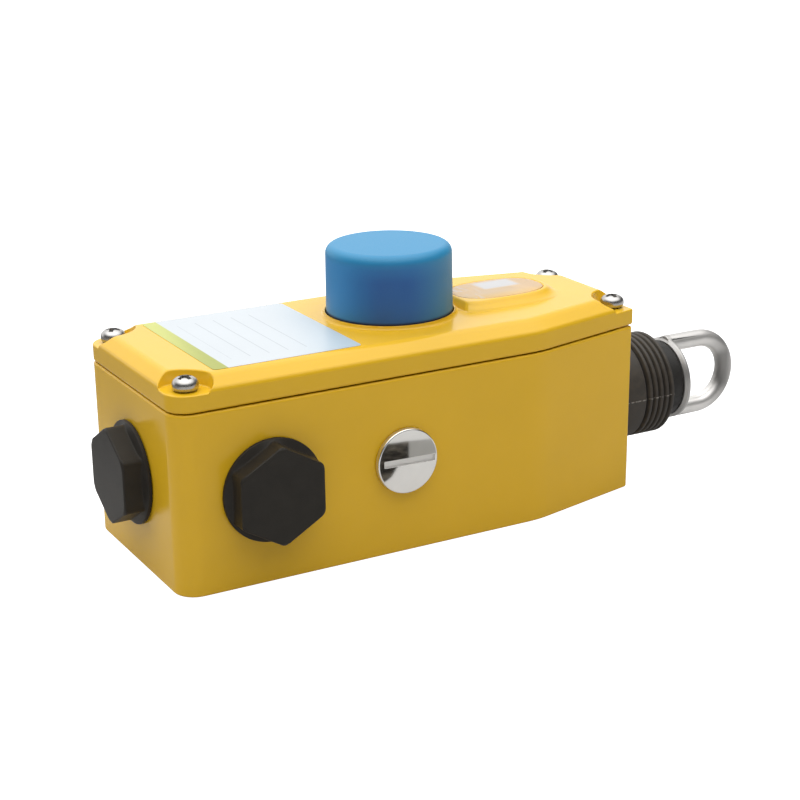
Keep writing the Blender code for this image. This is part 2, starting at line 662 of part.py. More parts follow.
def make_boot(place, axis):
    """The ribbed rubber boot over the housing's neck, closed on the eye's hub, as one turned ring."""
    start = ROPE_END + GAP
    tip = FLANGE_X - GAP
    outer = [(BOOT_TIP_RADIUS - 0.5 * MM, tip), (BOOT_TIP_RADIUS, tip - 0.8 * MM)]
    last = RIB_START + BOOT_RIBS * RIB_PITCH
    outer.append((BOOT_TIP_RADIUS - 0.4 * MM, last + 1.6 * MM))
    outer.append((BOOT_TIP_RADIUS + 0.6 * MM, last))
    for k in reversed(range(BOOT_RIBS)):
        low = RIB_START + k * RIB_PITCH
        outer.append((BOOT_RADIUS, low + 0.8 * RIB_PITCH))
        outer.append((BOOT_RADIUS, low + 0.35 * RIB_PITCH))
        outer.append((BOOT_RADIUS - RIB_DEPTH, low))
    outer += [(BOOT_RADIUS, RIB_START - 0.9 * MM), (BOOT_RADIUS, start)]
    cuff = NECK_RADIUS + GAP
    grip = HUB_RADIUS + GAP
    inner = [(cuff, start), (cuff, last - 1 * MM), (grip, last + 1.6 * MM), (grip, tip)]
    turned("rope_boot", outer + inner, place, axis, RUBBER, sides=FINE)


def make_cam():
    """A double wedge on the shaft that pushes the two contact plungers apart as the rope is pulled."""
    outline = [
        (CAM_X[0], -CAM_HALF[0]),
        (CAM_X[1], -CAM_HALF[1]),
        (CAM_X[1], CAM_HALF[1]),
        (CAM_X[0], CAM_HALF[0]),
    ]
    slider = prism("cam_slider", outline, CAM_Z[0], CAM_Z[1], WHITE)
    return cut(slider, rod("cam_bore", (0, 0, ROPE_HEIGHT), (1, 0, 0), SHAFT_RADIUS + GAP, 50 * MM))


def make_pointer():
    """The green flag that the window shows, on a leg that stands on the cam slider."""
    leg_x = (29.2 * MM, 32.2 * MM)
    flag_z = (54.2 * MM, 55.4 * MM)
    leg_low = (leg_x[0], -4 * MM, CAM_Z[1] + GAP)
    leg = box("tension_pointer", leg_low, (leg_x[1], 4 * MM, flag_z[1]), GREEN)
    flag_high = (leg_x[0] + 10 * MM, 5 * MM, flag_z[1] + 0.2 * MM)
    return join(leg, box("flag", (leg_x[0], -5 * MM, flag_z[0]), flag_high))


def make_contacts():
    plate = box("mounting_plate", (-18 * MM, -26 * MM, PLATE_Z[0]), (40 * MM, 26 * MM, PLATE_Z[1]), STEEL)
    for i, (x, y) in enumerate(PLATE_SCREWS):
        cut(plate, post(f"plate_screw_way_{i}", (x, y, 0), 1.8 * MM, 20 * MM))
        end = "front" if y < 0 else "back"
        make_small_screw(f"plate_screw_{end}", (x, y, PLATE_Z[1] + GAP), 4.4 * MM)
    for name, sign in (("front", -1), ("back", 1)):
        sides = sorted(sign * y for y in BLOCK_Y)
        low = (BLOCK_X[0], sides[0], BLOCK_Z[0])
        block = box(f"contact_block_{name}", low, (BLOCK_X[1], sides[1], BLOCK_Z[1]), DARK)
        out = (0, sign, 0)
        way = (PLUNGER_X, sign * 10 * MM, ROPE_HEIGHT)
        cut(block, rod(f"plunger_way_{name}", way, out, PLUNGER_RADIUS + GAP, 14 * MM, sides=SMALL))
        along = (CAM_X[1] - PLUNGER_X) / (CAM_X[1] - CAM_X[0])
        tip = CAM_HALF[1] + (CAM_HALF[0] - CAM_HALF[1]) * along + GAP
        dome = [(0, PLUNGER_LENGTH), (PLUNGER_RADIUS, PLUNGER_LENGTH), (PLUNGER_RADIUS, 1.6 * MM)]
        dome += [(PLUNGER_RADIUS * 0.75, 0.5 * MM), (0, 0)]
        place = (PLUNGER_X, sign * tip, ROPE_HEIGHT)
        plunger = turned(f"contact_plunger_{name}", dome, place, out, WHITE, sides=SMALL)
        carry(f"plunger_axis_{name}", place, [plunger])
        number = 0
        for x in (16 * MM, 30 * MM):
            for y in (17.6 * MM, 23.4 * MM):
                number += 1
                spot = (x, sign * y, BLOCK_Z[1] - 8 * MM)
                cut(block, post(f"terminal_way_{name}_{number}", spot, 1.6 * MM, 20 * MM))
                top = (x, sign * y, BLOCK_Z[1] + GAP)
                make_small_screw(f"terminal_screw_{name}_{number}", top, 6 * MM, shank=1.3 * MM)
    x, y = EARTH_PLACE
    make_small_screw("earth_screw", (x, y, 9.3 * MM), 5 * MM, head=3.4 * MM, shank=1.7 * MM)


def make_small_screw(name, place, length, head=2.5 * MM, shank=1.5 * MM):
    tall = 1.8 * MM
    profile = [(0, tall), (head - 0.5 * MM, tall), (head, tall - 0.5 * MM), (head, 0)]
    profile += [(shank, 0), (shank, -length), (0, -length)]
    screw = turned(name, profile, place, (0, 0, 1), STEEL, SMALL)
    x, y, z = place
    low = (x - 2 * head, y - 0.4 * MM, z + 0.9 * MM)
    high = (x + 2 * head, y + 0.4 * MM, z + 5 * MM)
    return cut(screw, box(f"{name}_slot", low, high))


def make_latch():
    x, z = LATCH_PIVOT
    axis = (0, 1, 0)
    foot = PLATE_Z[1] + GAP
    foot_high = (x + 5 * MM, 9 * MM, foot + 2 * MM)
    bracket = box("latch_bracket", (x - 5 * MM, -9 * MM, foot), foot_high, STEEL)
    for name, sign in (("front", -1), ("back", 1)):
        sides = sorted((sign * 6.6 * MM, sign * 9 * MM))
        low = (x - 4 * MM, sides[0], foot + 1 * MM)
        join(bracket, box(f"cheek_{name}", low, (x + 4 * MM, sides[1], z + 4 * MM)))
    cut(bracket, rod("pin_way", (x, -15 * MM, z), axis, 1.8 * MM, 30 * MM, sides=SMALL))
    rod("latch_pin", (x, -10 * MM, z), axis, 1.5 * MM, 20 * MM, STEEL, sides=SMALL)
    arm_high = (RESET_X + 3 * MM, 5 * MM, LEVER_TOP)
    lever = box("latch_lever", (x - 4 * MM, -5 * MM, z - 3 * MM), arm_high, STEEL)
    hook_high = (RESET_X + 4 * MM, 5 * MM, LEVER_TOP - 0.5 * MM)
    join(lever, box("hook", (RESET_X, -5 * MM, z - 5 * MM), hook_high))
    cut(lever, rod("lever_bore", (x, -15 * MM, z), axis, 1.5 * MM + GAP, 30 * MM, sides=SMALL))
    carry("latch_axis", (x, 0, z), [lever])


ENTRIES = {
    "end": ((LEFT_END, 0, ENTRY_HEIGHT), (-1, 0, 0)),
    "front": ((ENTRY_X, -WIDTH / 2, ENTRY_HEIGHT), (0, -1, 0)),
    "back": ((ENTRY_X, WIDTH / 2, ENTRY_HEIGHT), (0, 1, 0)),
}
HEX_TURN = {"end": math.pi / 2, "front": 0.0, "back": 0.0}
MOUNT_BOSSES = [(x * MM, y * MM) for x in (-50, 55) for y in (-14, 14)]
PLATE_SCREWS = [(0, -22 * MM), (0, 22 * MM)]
EARTH_PLACE = (-30 * MM, 20 * MM)

make_base()
make_lid()
make_lid_screws()
make_plugs()
make_slot_screw()
make_window()
make_reset_button()
make_rope_end()
make_contacts()
make_latch()
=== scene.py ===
"""Finished surfaces of a rope-pull safety switch, laid out as an add-on and run as a script.

Lengths are metres in the packed part's own frame: the origin is the centre of the housing's flat bottom,
+X points out along the pulled rope, and the wall with the slotted screw faces -Y.
"""

import json
import math

import bmesh
import bpy
from mathutils import Matrix, Vector

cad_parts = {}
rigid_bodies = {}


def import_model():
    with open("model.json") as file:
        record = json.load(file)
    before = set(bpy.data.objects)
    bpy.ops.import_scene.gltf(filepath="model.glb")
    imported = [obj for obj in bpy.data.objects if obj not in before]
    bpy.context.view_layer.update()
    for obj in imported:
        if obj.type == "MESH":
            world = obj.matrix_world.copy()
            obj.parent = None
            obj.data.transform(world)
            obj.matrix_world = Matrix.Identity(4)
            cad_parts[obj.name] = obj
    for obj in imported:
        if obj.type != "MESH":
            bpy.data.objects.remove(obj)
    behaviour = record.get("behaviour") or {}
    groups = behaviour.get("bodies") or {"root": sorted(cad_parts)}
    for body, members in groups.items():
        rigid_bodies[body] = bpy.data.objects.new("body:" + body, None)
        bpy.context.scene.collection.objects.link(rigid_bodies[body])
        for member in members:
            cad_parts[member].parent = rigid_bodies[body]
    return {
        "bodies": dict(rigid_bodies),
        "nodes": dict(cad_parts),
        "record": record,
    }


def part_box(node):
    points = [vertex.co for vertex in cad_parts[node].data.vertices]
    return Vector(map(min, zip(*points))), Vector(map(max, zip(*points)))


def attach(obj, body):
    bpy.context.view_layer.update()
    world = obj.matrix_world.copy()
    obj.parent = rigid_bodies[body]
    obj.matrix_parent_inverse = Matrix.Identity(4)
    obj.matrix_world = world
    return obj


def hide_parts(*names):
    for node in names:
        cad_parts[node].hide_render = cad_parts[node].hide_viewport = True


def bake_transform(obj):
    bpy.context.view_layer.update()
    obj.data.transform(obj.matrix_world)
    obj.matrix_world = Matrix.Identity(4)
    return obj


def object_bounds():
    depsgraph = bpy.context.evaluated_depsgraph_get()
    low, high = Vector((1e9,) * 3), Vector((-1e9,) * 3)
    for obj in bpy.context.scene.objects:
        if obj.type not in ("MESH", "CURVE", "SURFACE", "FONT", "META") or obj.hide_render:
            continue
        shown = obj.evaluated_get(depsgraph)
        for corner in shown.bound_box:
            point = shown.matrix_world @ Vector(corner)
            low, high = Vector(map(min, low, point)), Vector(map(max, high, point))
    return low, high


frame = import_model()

bl_info = {
    "name": "Rope-pull safety switch",
    "version": (1, 0, 0),
    "blender": (4, 5, 0),
    "location": "3D View > Sidebar > Rope switch",
    "description": "Makes the finished castings, fittings and rope end of a rope-pull safety switch",
    "category": "Object",
}

MM = 0.001
GAP = 0.3 * MM
CAD_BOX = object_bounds()
BASE_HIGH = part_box("housing_base")[1]
LID_LOW, LID_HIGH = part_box("lid")
CAP_LOW, CAP_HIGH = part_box("reset_cap")
LENS_LOW, LENS_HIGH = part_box("window_lens")
BOOT_LOW, BOOT_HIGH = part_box("rope_boot")
EYE_LOW, EYE_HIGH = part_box("rope_eye")
DISC_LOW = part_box("slot_screw")[0]
SCREW_CORNERS = ("front_left", "back_left", "front_right", "back_right")
UP = Vector((0, 0, 1))
ROPE_WAY = Vector((1, 0, 0))
FRONT_WAY = Vector((0, -1, 0))


def middle(node):
    """The centre of a node's box."""
    low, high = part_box(node)
    return (low + high) / 2


def size(name, description, default):
    """A length that a user may change."""
    return bpy.props.FloatProperty(
        name=name, description=description, default=default, unit="LENGTH", precision=4
    )


def colour(name, description, default):
    """A linear colour that a user may change."""
    return bpy.props.FloatVectorProperty(
        name=name, description=description, default=default, subtype="COLOR", size=3, min=0, max=1
    )


def amount(name, description, default):
    """A plain number that a user may change."""
    return bpy.props.FloatProperty(name=name, description=description, default=default)


class HousingSizes(bpy.types.PropertyGroup):
    """Sizes of the cast base and its lid"""

    left_end: size("Left end", "Where the wall with the end plug stands", LID_LOW.x)
    rope_end: size("Rope end", "Where the wall at the rope end stands", LID_HIGH.x)
    width: size("Width", "Housing from side to side", LID_HIGH.y - LID_LOW.y)
    seam: size("Seam height", "Middle of the joint between base and lid", BASE_HIGH.z + 0.25 * MM)
    seam_gap: size("Seam gap", "Width of the joint line", 0.38 * MM)
    wall: size("Wall", "Thickness of the base's walls", 4 * MM)
    corner: size("Corner", "Radius of the left corners in plan", 6.4 * MM)
    taper_start: size("Taper start", "Where the long walls begin to lean in", 37.7 * MM)
    taper_in: size("Taper", "How far the long walls lean in", 9 * MM)
    taper_run: size("Taper run", "Length over which they lean in that far", 37.3 * MM)
    end_draft: size("End draft", "How far the rope end's wall draws in towards the bottom", 0.6 * MM)
    lid_side: size("Lid side", "Height of the lid's upright side above the seam", 6 * MM)
    lid_rise: size("Lid rise", "Height of the lid's flat top above the seam", 8.8 * MM)
    bevel_side: size("Side bevel", "Width of the bevel along the long sides", 4.8 * MM)
    bevel_end: size("End bevel", "Width of the bevel along the ends", 3.7 * MM)
    lid_shoulder: size("Lid shoulder", "Rounding between the lid's side and its bevel", 1.65 * MM)
    lid_brow: size("Lid brow", "Rounding between the bevel and the flat top", 6 * MM)
    lid_overhang: size("Lid overhang", "How far the lid stands out over the base at the rope end", 0.35 * MM)
    pocket: size("Pocket", "Half the width of the open pockets round the lid screws", 7 * MM)
    pocket_reach: size("Pocket reach", "From a lid screw's axis to the pocket's far wall", 5 * MM)
    pocket_floor: size("Pocket floor", "Height of the pocket floors above the seam", 5 * MM)


class FittingSizes(bpy.types.PropertyGroup):
    """Sizes of the plugs, screws, reset cap and window"""

    plug_flange: size("Plug flange", "Radius of a plug's round flange", 14.6 * MM)
    plug_flats: size("Plug flats", "Hexagon across its flats", 24.4 * MM)
    plug_face: size("Plug face", "Hexagon's face above the wall", 7.5 * MM)
    screw_head: size("Screw head", "Radius of a lid screw's head", 3.55 * MM)
    screw_rise: size("Screw rise", "Height of a lid screw's head", 3.5 * MM)
    disc: size("Slotted screw", "Radius of the slotted screw on the front wall", 9.4 * MM)
    slot: size("Slot", "Width of its slot", 1.9 * MM)
    cap: size("Reset cap", "Radius of the reset cap", 18.2 * MM)
    cap_lip: size("Cap lip", "Radius of the lip at the cap's foot", 18.35 * MM)
    cap_round: size("Cap edge", "Rounding of the cap's top edge", 2.6 * MM)
    collar: size("Collar", "Radius of the collar that the cap sinks into", 19.05 * MM)
    collar_rise: size("Collar rise", "Collar above the lid's flat top", 1.2 * MM)
    collar_foot: size("Collar foot", "Width of the fillet at the collar's foot", 1.6 * MM)
    well: size("Well", "Radius of the well inside the collar", 18.6 * MM)
    window_rise: size("Window rise", "Window boss above the lid's flat top", 2.3 * MM)


class RopeEndSizes(bpy.types.PropertyGroup):
    """Sizes of the rubber boot and the steel eye"""

    axis_height: size("Axis height", "Rope axis above the base", 24.1 * MM)
    boot: size("Boot", "Radius over the boot's ribs", 16.1 * MM)
    rib_start: size("First rib", "Where the ribs begin, from the middle of the housing", 88.1 * MM)
    rib_pitch: size("Rib pitch", "Distance from rib to rib", 2.06 * MM)
    rib_depth: size("Rib depth", "Depth of the grooves between ribs", 1.5 * MM)
    boot_tip: size("Boot tip", "Radius of the boot's end ring", 12.4 * MM)
    eye_bar: size("Eye bar", "Radius of the eye's round bar", 2.75 * MM)
    eye: size("Eye", "Radius of the eye along the middle of its bar", 11.1 * MM)
    flange: size("Flange", "Radius of the eye's flange", 13 * MM)
    flange_thick: size("Flange thickness", "Thickness of the eye's flange", 2 * MM)


class FinishColours(bpy.types.PropertyGroup):
    """Colours of the finishes"""

    enamel: colour("Enamel", "Yellow enamel of the castings", (0.80, 0.475, 0.018))
    cap: colour("Cap", "Blue of the reset cap", (0.013, 0.108, 0.37))
    # Painted light: the paler blue painted on the cap's upper side and on its left side for the light that
    # falls there.
    cap_painted_light: colour("Cap faded", "Blue where light has faded the cap's side", (0.03, 0.26, 0.57))
    # Painted sheen: the greyer, paler blue painted on the cap's right side.
    cap_painted_sheen: colour("Cap dull", "Greyer blue of the cap's far side", (0.05, 0.29, 0.47))
    # Painted light: the paler blue that the cap's top is given for the light that falls on it.
    cap_lit_top: colour("Cap top", "Paler blue of the cap's lit top", (0.016, 0.25, 0.48))
    plug: colour("Plug", "Black polyamide of the plugs", (0.025, 0.022, 0.018))
    rubber: colour("Rubber", "Dark grey rubber of the boot", (0.045, 0.037, 0.028))
    flash: colour("Flash", "Dusty grey of the boot's parting line", (0.24, 0.225, 0.2))
    steel: colour("Steel", "Satin stainless steel", (0.60, 0.585, 0.565))
    plating: colour("Plating", "Bright plating of the screws", (0.80, 0.785, 0.755))
    brass: colour("Brass", "Turned brass", (0.75, 0.53, 0.22))
    block: colour("Contact block", "Dark grey of the contact blocks", (0.075, 0.075, 0.08))
    white: colour("White plastic", "White of the small mouldings", (0.78, 0.78, 0.75))
    flag: colour("Flag", "Green of the tension flag", (0.05, 0.32, 0.08))
    lens: colour("Lens", "Warm tint of the window", (0.86, 0.62, 0.36))
    # Painted reflection of the housing's yellow at the lens's front.
    lens_front_reflection: colour("Lens front", "Yellow that the window picks up at its front", (0.95, 0.62, 0.20))
    # Pale card behind the window together with a painted highlight on the lens.
    lens_card_and_highlight: colour("Window card", "Pale card behind the window", (0.52, 0.52, 0.53))
    label: colour("Label", "White film of the label", (0.57, 0.61, 0.64))
    label_strip: colour("Label strip", "Lime strip along the label's end", (0.33, 0.365, 0.035))
    label_lemon: colour("Label lemon", "Yellow that the strip fades to", (0.52, 0.55, 0.11))
    label_fade: colour("Label fade", "Pale blue that the label fades to at its other end", (0.44, 0.54, 0.61))
    label_rule: colour("Label rules", "Grey of the blank fields ruled on the label", (0.28, 0.31, 0.34))
    card: colour("Card", "Black of the stage's card", (0.012, 0.011, 0.01))
    card_mottle: colour("Card mottle", "Brown that mottles the card's black", (0.09, 0.08, 0.065))
    card_grey: colour("Card grey", "Grey of the card beyond its straight edge", (0.27, 0.27, 0.26))


class StudioSettings(bpy.types.PropertyGroup):
    """Camera and light"""

    azimuth: amount("Azimuth", "Camera's turn from the front, in degrees", -28.89)
    elevation: amount("Elevation", "Camera above the horizon, in degrees", 18.22)
    roll: amount("Roll", "Camera's turn about its own axis, in degrees", -0.79)
    lens: amount("Lens", "Focal length in millimetres on a 36 mm sensor", 81.65)
    top_light: amount("Top light", "Brightness of the soft light overhead", 2.5)
    back_light: amount("Back light", "Brightness of the surroundings behind the part", 1.25)
    front_light: amount("Front light", "Brightness of the surroundings before the part", 0.12)


# Shaping tools


def filleted(corners, steps=6, closed=True):
    """Points along straight runs between (x, y, radius) corners, with an arc at each corner."""
    points = []
    for i, (x, y, radius) in enumerate(corners):
        here = Vector((x, y))
        if radius <= 0 or not closed and i in (0, len(corners) - 1):
            points.append(here)
            continue
        before = (Vector(corners[i - 1][:2]) - here).normalized()
        after = (Vector(corners[(i + 1) % len(corners)][:2]) - here).normalized()
        half = before.angle(after) / 2
        centre = here + (before + after).normalized() * (radius / math.sin(half))
        spoke = here + before * (radius / math.tan(half)) - centre
        sweep = (math.pi - 2 * half) * (1 if spoke.cross(here - centre) > 0 else -1)
        points += [centre + Matrix.Rotation(sweep * k / steps, 2) @ spoke for k in range(steps + 1)]
    return points


def oval(length, width, centre_x, power, steps=72):
    """A full-cornered oval outline."""
    points = []
    for k in range(steps):
        c, s = math.cos(math.tau * k / steps), math.sin(math.tau * k / steps)
        x = math.copysign(abs(c) ** (2 / power), c) * length / 2
        y = math.copysign(abs(s) ** (2 / power), s) * width / 2
        points.append(Vector((centre_x + x, y)))
    return points


def skin(rings, closed=False):
    """A closed bmesh through rings of points. A ring of one point is a pole, and open ends get caps."""
    bm = bmesh.new()
    loops = [[bm.verts.new(point) for point in ring] for ring in rings]
    pairs = list(zip(loops, loops[1:]))
    if closed:
        pairs.append((loops[-1], loops[0]))
    for low, high in pairs:
        count = max(len(low), len(high))
        for i in range(count):
            j = (i + 1) % count
            corners = [low[i % len(low)], low[j % len(low)], high[j % len(high)], high[i % len(high)]]
            bm.faces.new(dict.fromkeys(corners))
    if not closed:
        for loop in (loops[0], loops[-1]):
            if len(loop) > 1:
                bm.faces.new(loop)
    bmesh.ops.recalc_face_normals(bm, faces=bm.faces)
    return bm


def box_plan(left, right, near, far):
    """The four corners of a rectangle."""
    return [(left, near), (right, near), (right, far), (left, far)]


def prism(outline, low, high):
    """A flat outline in X and Y, from z = low to z = high."""
    return skin([[(x, y, z) for x, y in outline] for z in (low, high)])


def ring_of(radius, height, steps):
    """A round ring about Z, or a pole where the radius is zero."""
    if radius <= 0:
        return [(0, 0, height)]
    angles = [math.tau * k / steps for k in range(steps)]
    return [(radius * math.cos(a), radius * math.sin(a), height) for a in angles]


def aimed(bm, place, axis):
    """The bmesh turned from +Z to axis and moved to place."""
    turn = UP.rotation_difference(Vector(axis)).to_matrix().to_4x4()
    bmesh.ops.transform(bm, matrix=Matrix.Translation(place) @ turn, verts=bm.verts)
    return bm


def spun(bm, angle):
    """The bmesh turned about Z."""
    bmesh.ops.rotate(bm, matrix=Matrix.Rotation(angle, 3, "Z"), verts=bm.verts)
    return bm


def turned(profile, place, axis=UP, steps=96):
    """A solid turned about axis. The profile's points are (radius, height), and it closes on itself unless
    it starts on the axis."""
    closed = profile[0][0] > 0
    return aimed(skin([ring_of(r, h, steps) for r, h in profile], closed), place, axis)


def lathed(corners, arc_steps, place, axis=UP, steps=128):
    """A solid turned about axis from (radius, height, rounding) corners, which start and end on the axis."""
    return turned(filleted(corners, arc_steps, closed=False), place, axis, steps)


def rod(radius, low, high, place, axis=UP, steps=48):
    """A plain round cutter or post between two heights along axis."""
    return turned([(0, low), (radius, low), (radius, high), (0, high)], place, axis, steps)


def combined(bm, operation, others):
    """The bmesh cut by the others or joined with them."""
    made = []
    for i, shape in enumerate([bm, *others]):
        mesh = bpy.data.meshes.new(f"helper_{i}")
        shape.to_mesh(mesh)
        shape.free()
        made.append(bpy.data.objects.new(f"helper_{i}", mesh))
        bpy.context.scene.collection.objects.link(made[-1])
    for helper in made[1:]:
        step = made[0].modifiers.new(operation.lower(), "BOOLEAN")
        step.operation = operation
        step.object = helper
    bpy.context.view_layer.update()
    graph = bpy.context.evaluated_depsgraph_get()
    result = bmesh.new()
    result.from_mesh(made[0].evaluated_get(graph).data)
    for helper in made:
        mesh = helper.data
        bpy.data.objects.remove(helper)
        bpy.data.meshes.remove(mesh)
    bmesh.ops.remove_doubles(result, verts=result.verts, dist=0.02 * MM)
    return result


def cut(bm, *others):
    """The bmesh with the others taken away."""
    return combined(bm, "DIFFERENCE", others)


def joined(bm, *others):
    """The bmesh grown together with the others."""
    return combined(bm, "UNION", others)


def round_edges(bm, width, segments=3, sharper_than=math.radians(38)):
    """Round the sharp edges that cutting and joining left."""
    bmesh.ops.dissolve_limit(
        bm, angle_limit=math.radians(0.3), verts=bm.verts, edges=bm.edges, delimit={"NORMAL"}
    )
    sharp = [e for e in bm.edges if e.is_manifold and e.calc_face_angle() > sharper_than]
    bmesh.ops.bevel(
        bm, geom=sharp, offset=width, offset_type="OFFSET", segments=segments, profile=0.5,
        affect="EDGES", clamp_overlap=False,
    )
    return bm


def piece(name, bm, look, body, nodes, even=True):
    """Make a bmesh, with the named finish, a piece that rides on a body and stands for CAD nodes."""
    bmesh.ops.recalc_face_normals(bm, faces=bm.faces)
    mesh = bpy.data.meshes.new(name)
    bm.to_mesh(mesh)
    bm.free()
    mesh.materials.append(finish(look))
    mesh.shade_smooth()
    mesh.set_sharp_from_angle(angle=math.radians(50))
    obj = bpy.data.objects.new(name, mesh)
    bpy.context.scene.collection.objects.link(obj)
    if even:
        weighted = obj.modifiers.new("even_shading", "WEIGHTED_NORMAL")
        weighted.keep_sharp = True
    if body:
        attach(obj, body)
    if nodes:
        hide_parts(*nodes)
    return obj


# Finishes

# How far the painted light on the cap's left and right sides and the fading of the label's strip turn from
# the housing's length
PAINTED_LIGHT_SLANT = 0.55
STRIP_SLANT = 4


class Value:
    """A shader socket that takes part in Python sums, each of which adds a Math node."""

    def __init__(self, look, socket):
        self.look = look
        self.socket = socket

    def __add__(self, other):
        return self.look.maths("ADD", self, other)

    def __radd__(self, other):
        return self.look.maths("ADD", other, self)

    def __sub__(self, other):
        return self.look.maths("SUBTRACT", self, other)

    def __rsub__(self, other):
        return self.look.maths("SUBTRACT", other, self)

    def __mul__(self, other):
        return self.look.maths("MULTIPLY", self, other)

    def __rmul__(self, other):
        return self.look.maths("MULTIPLY", other, self)

    def __gt__(self, other):
        return self.look.maths("GREATER_THAN", self, other)

    def __lt__(self, other):
        return self.look.maths("LESS_THAN", self, other)


class Look:
    """A material's or a world's nodes while they are being wired up."""

    def __init__(self, owner):
        owner.use_nodes = True
        self.owner = owner
        self.tree = owner.node_tree

    def node(self, kind, settings=None, sockets=None, output=0):
        """Add a node: its settings first, then its sockets' values or links. Gives one of its outputs."""
        made = self.tree.nodes.new(kind)
        for name, value in (settings or {}).items():
            setattr(made, name, value)
        self.feed(made, sockets or {})
        return Value(self, made.outputs[output])

    def feed(self, node, sockets):
        """Set or link the sockets of a node."""
        for key, value in sockets.items():
            if isinstance(value, Value):
                self.tree.links.new(value.socket, node.inputs[key])
            else:
                node.inputs[key].default_value = value

    def maths(self, operation, first, second):
        """A Math node on two values."""
        return self.node("ShaderNodeMath", {"operation": operation}, {0: first, 1: second})

    def mix(self, factor, first, second):
        """A colour between two colours."""
        sockets = {0: factor, 6: first, 7: second}
        return self.node("ShaderNodeMix", {"data_type": "RGBA"}, sockets, output=2)

    def ramp(self, value, low, high):
        """0 below low, 1 above high and smooth between."""
        settings = {"interpolation_type": "SMOOTHSTEP"}
        return self.node("ShaderNodeMapRange", settings, {0: value, 1: low, 2: high, 3: 0.0, 4: 1.0})

    def band(self, value, low, high, soft):
        """1 between low and high and 0 outside, smooth over a run of soft within each end."""
        return self.ramp(value, low, low + soft) * (1 - self.ramp(value, high - soft, high))

    def place(self):
        """The point on the surface, in metres."""
        return self.node("ShaderNodeTexCoord", output=3)

    def axis(self, name):
        """One coordinate of the point on the surface."""
        return self.node("ShaderNodeSeparateXYZ", None, {0: self.place()}, "XYZ".index(name))

    def noise(self, grain, detail=2.0, stretch=None):
        """Cloudy noise with features of the given size, stretched along the axes if wanted."""
        where = self.place()
        if stretch:
            settings = {"operation": "MULTIPLY"}
            where = self.node("ShaderNodeVectorMath", settings, {0: where, 1: stretch})
        sockets = {"Vector": where, "Scale": 1 / grain, "Detail": detail}
        return self.node("ShaderNodeTexNoise", None, sockets)

    def bump(self, height, depth, strength=1.0):
        """A normal for relief of the given depth."""
        return self.node("ShaderNodeBump", None, {"Height": height, "Distance": depth, "Strength": strength})

    def surface(self, sockets):
        """Feed the Principled shader and give the material."""
        self.feed(self.tree.nodes["Principled BSDF"], sockets)
        return self.owner


def shade(tone, factor):
    """A colour made lighter or darker, with full alpha."""
    return (*[min(1.0, channel * factor) for channel in tone], 1.0)


def grey(level):
    """An even grey, with full alpha."""
    return (level, level, level, 1.0)


def plain(look, tone, grain, shades, rough, metal):
    """One tone under a haze of the given grain, which also changes the gloss."""
    haze = look.noise(grain, 3)
    return look.surface({
        "Base Color": look.mix(haze, shade(tone, shades[0]), shade(tone, shades[1])),
        "Metallic": metal,
        "Roughness": rough[0] + rough[1] * haze,
    })


def enamel(look, colours):
    """Satin yellow enamel sprayed on a casting: faint orange peel and slow changes of depth."""
    clouds = look.noise(22 * MM, 3)
    peel = look.noise(1.3 * MM, 2)
    specks = look.noise(0.5 * MM, 1)
    tone = look.mix(clouds, shade(colours.enamel, 0.95), shade(colours.enamel, 1.05))
    return look.surface({
        "Base Color": tone,
        "Roughness": 0.15 + 0.1 * look.noise(6 * MM, 3),
        "Specular IOR Level": 0.34,
        "Normal": look.bump(peel + 0.25 * specks, 0.03 * MM, 0.5),
    })


def blue_plastic(look, colours):
    """Satin moulded plastic with a fine spark-eroded grain; painted light makes it paler on top and at its
    sides, painted shade darkens its foot.
    """
    clouds = look.noise(9 * MM, 2)
    grain = look.noise(0.35 * MM, 3)
    centre = middle("reset_cap").x
    sizes, fit = bpy.context.scene.switch_housing, bpy.context.scene.switch_fittings
    height = look.axis("Z") + 0.4 * MM * clouds
    across = look.axis("X") - PAINTED_LIGHT_SLANT * look.axis("Y")
    # Painted light: the top and its rounded edge turn paler blue, as the light from above makes them look.
    painted_top_light = look.ramp(height, CAP_HIGH.z - 4.2 * MM, CAP_HIGH.z - 0.6 * MM)
    # Painted light: the side's upper part turns towards the paler blue, as the light from above makes it
    # look.
    lightened = look.ramp(height, CAP_HIGH.z - 8 * MM, CAP_HIGH.z - 2 * MM)
    # Painted light: the cap's left side is paler, as if lit from the left, and its right side is a greyer,
    # paler blue as a painted sheen.
    painted_light_left = 1 - look.ramp(across, centre - 21 * MM, centre - 2 * MM)
    painted_sheen_right = look.ramp(across, centre + 5 * MM, centre + 21 * MM)
    tone = look.mix(clouds, shade(colours.cap, 0.94), shade(colours.cap, 1.06))
    tone = look.mix(0.4 * lightened, tone, shade(colours.cap_painted_light, 1))
    tone = look.mix(0.95 * painted_light_left, tone, shade(colours.cap_painted_light, 1))
    tone = look.mix(0.6 * painted_sheen_right, tone, shade(colours.cap_painted_sheen, 1))
    tone = look.mix(painted_top_light, tone, shade(colours.cap_lit_top, 1))
    # Painted shade: just above the collar the cap darkens to near black, where the gap round its foot is in
    # shade.
    rim = sizes.seam + sizes.lid_rise + fit.collar_rise
    tone = look.mix(look.ramp(look.axis("Z"), rim, rim + 0.9 * MM), shade(colours.cap, 0.15), tone)
    return look.surface({
        "Base Color": tone,
        "Roughness": 0.4 + 0.12 * grain,
        "Normal": look.bump(grain, 0.03 * MM, 0.6),
    })


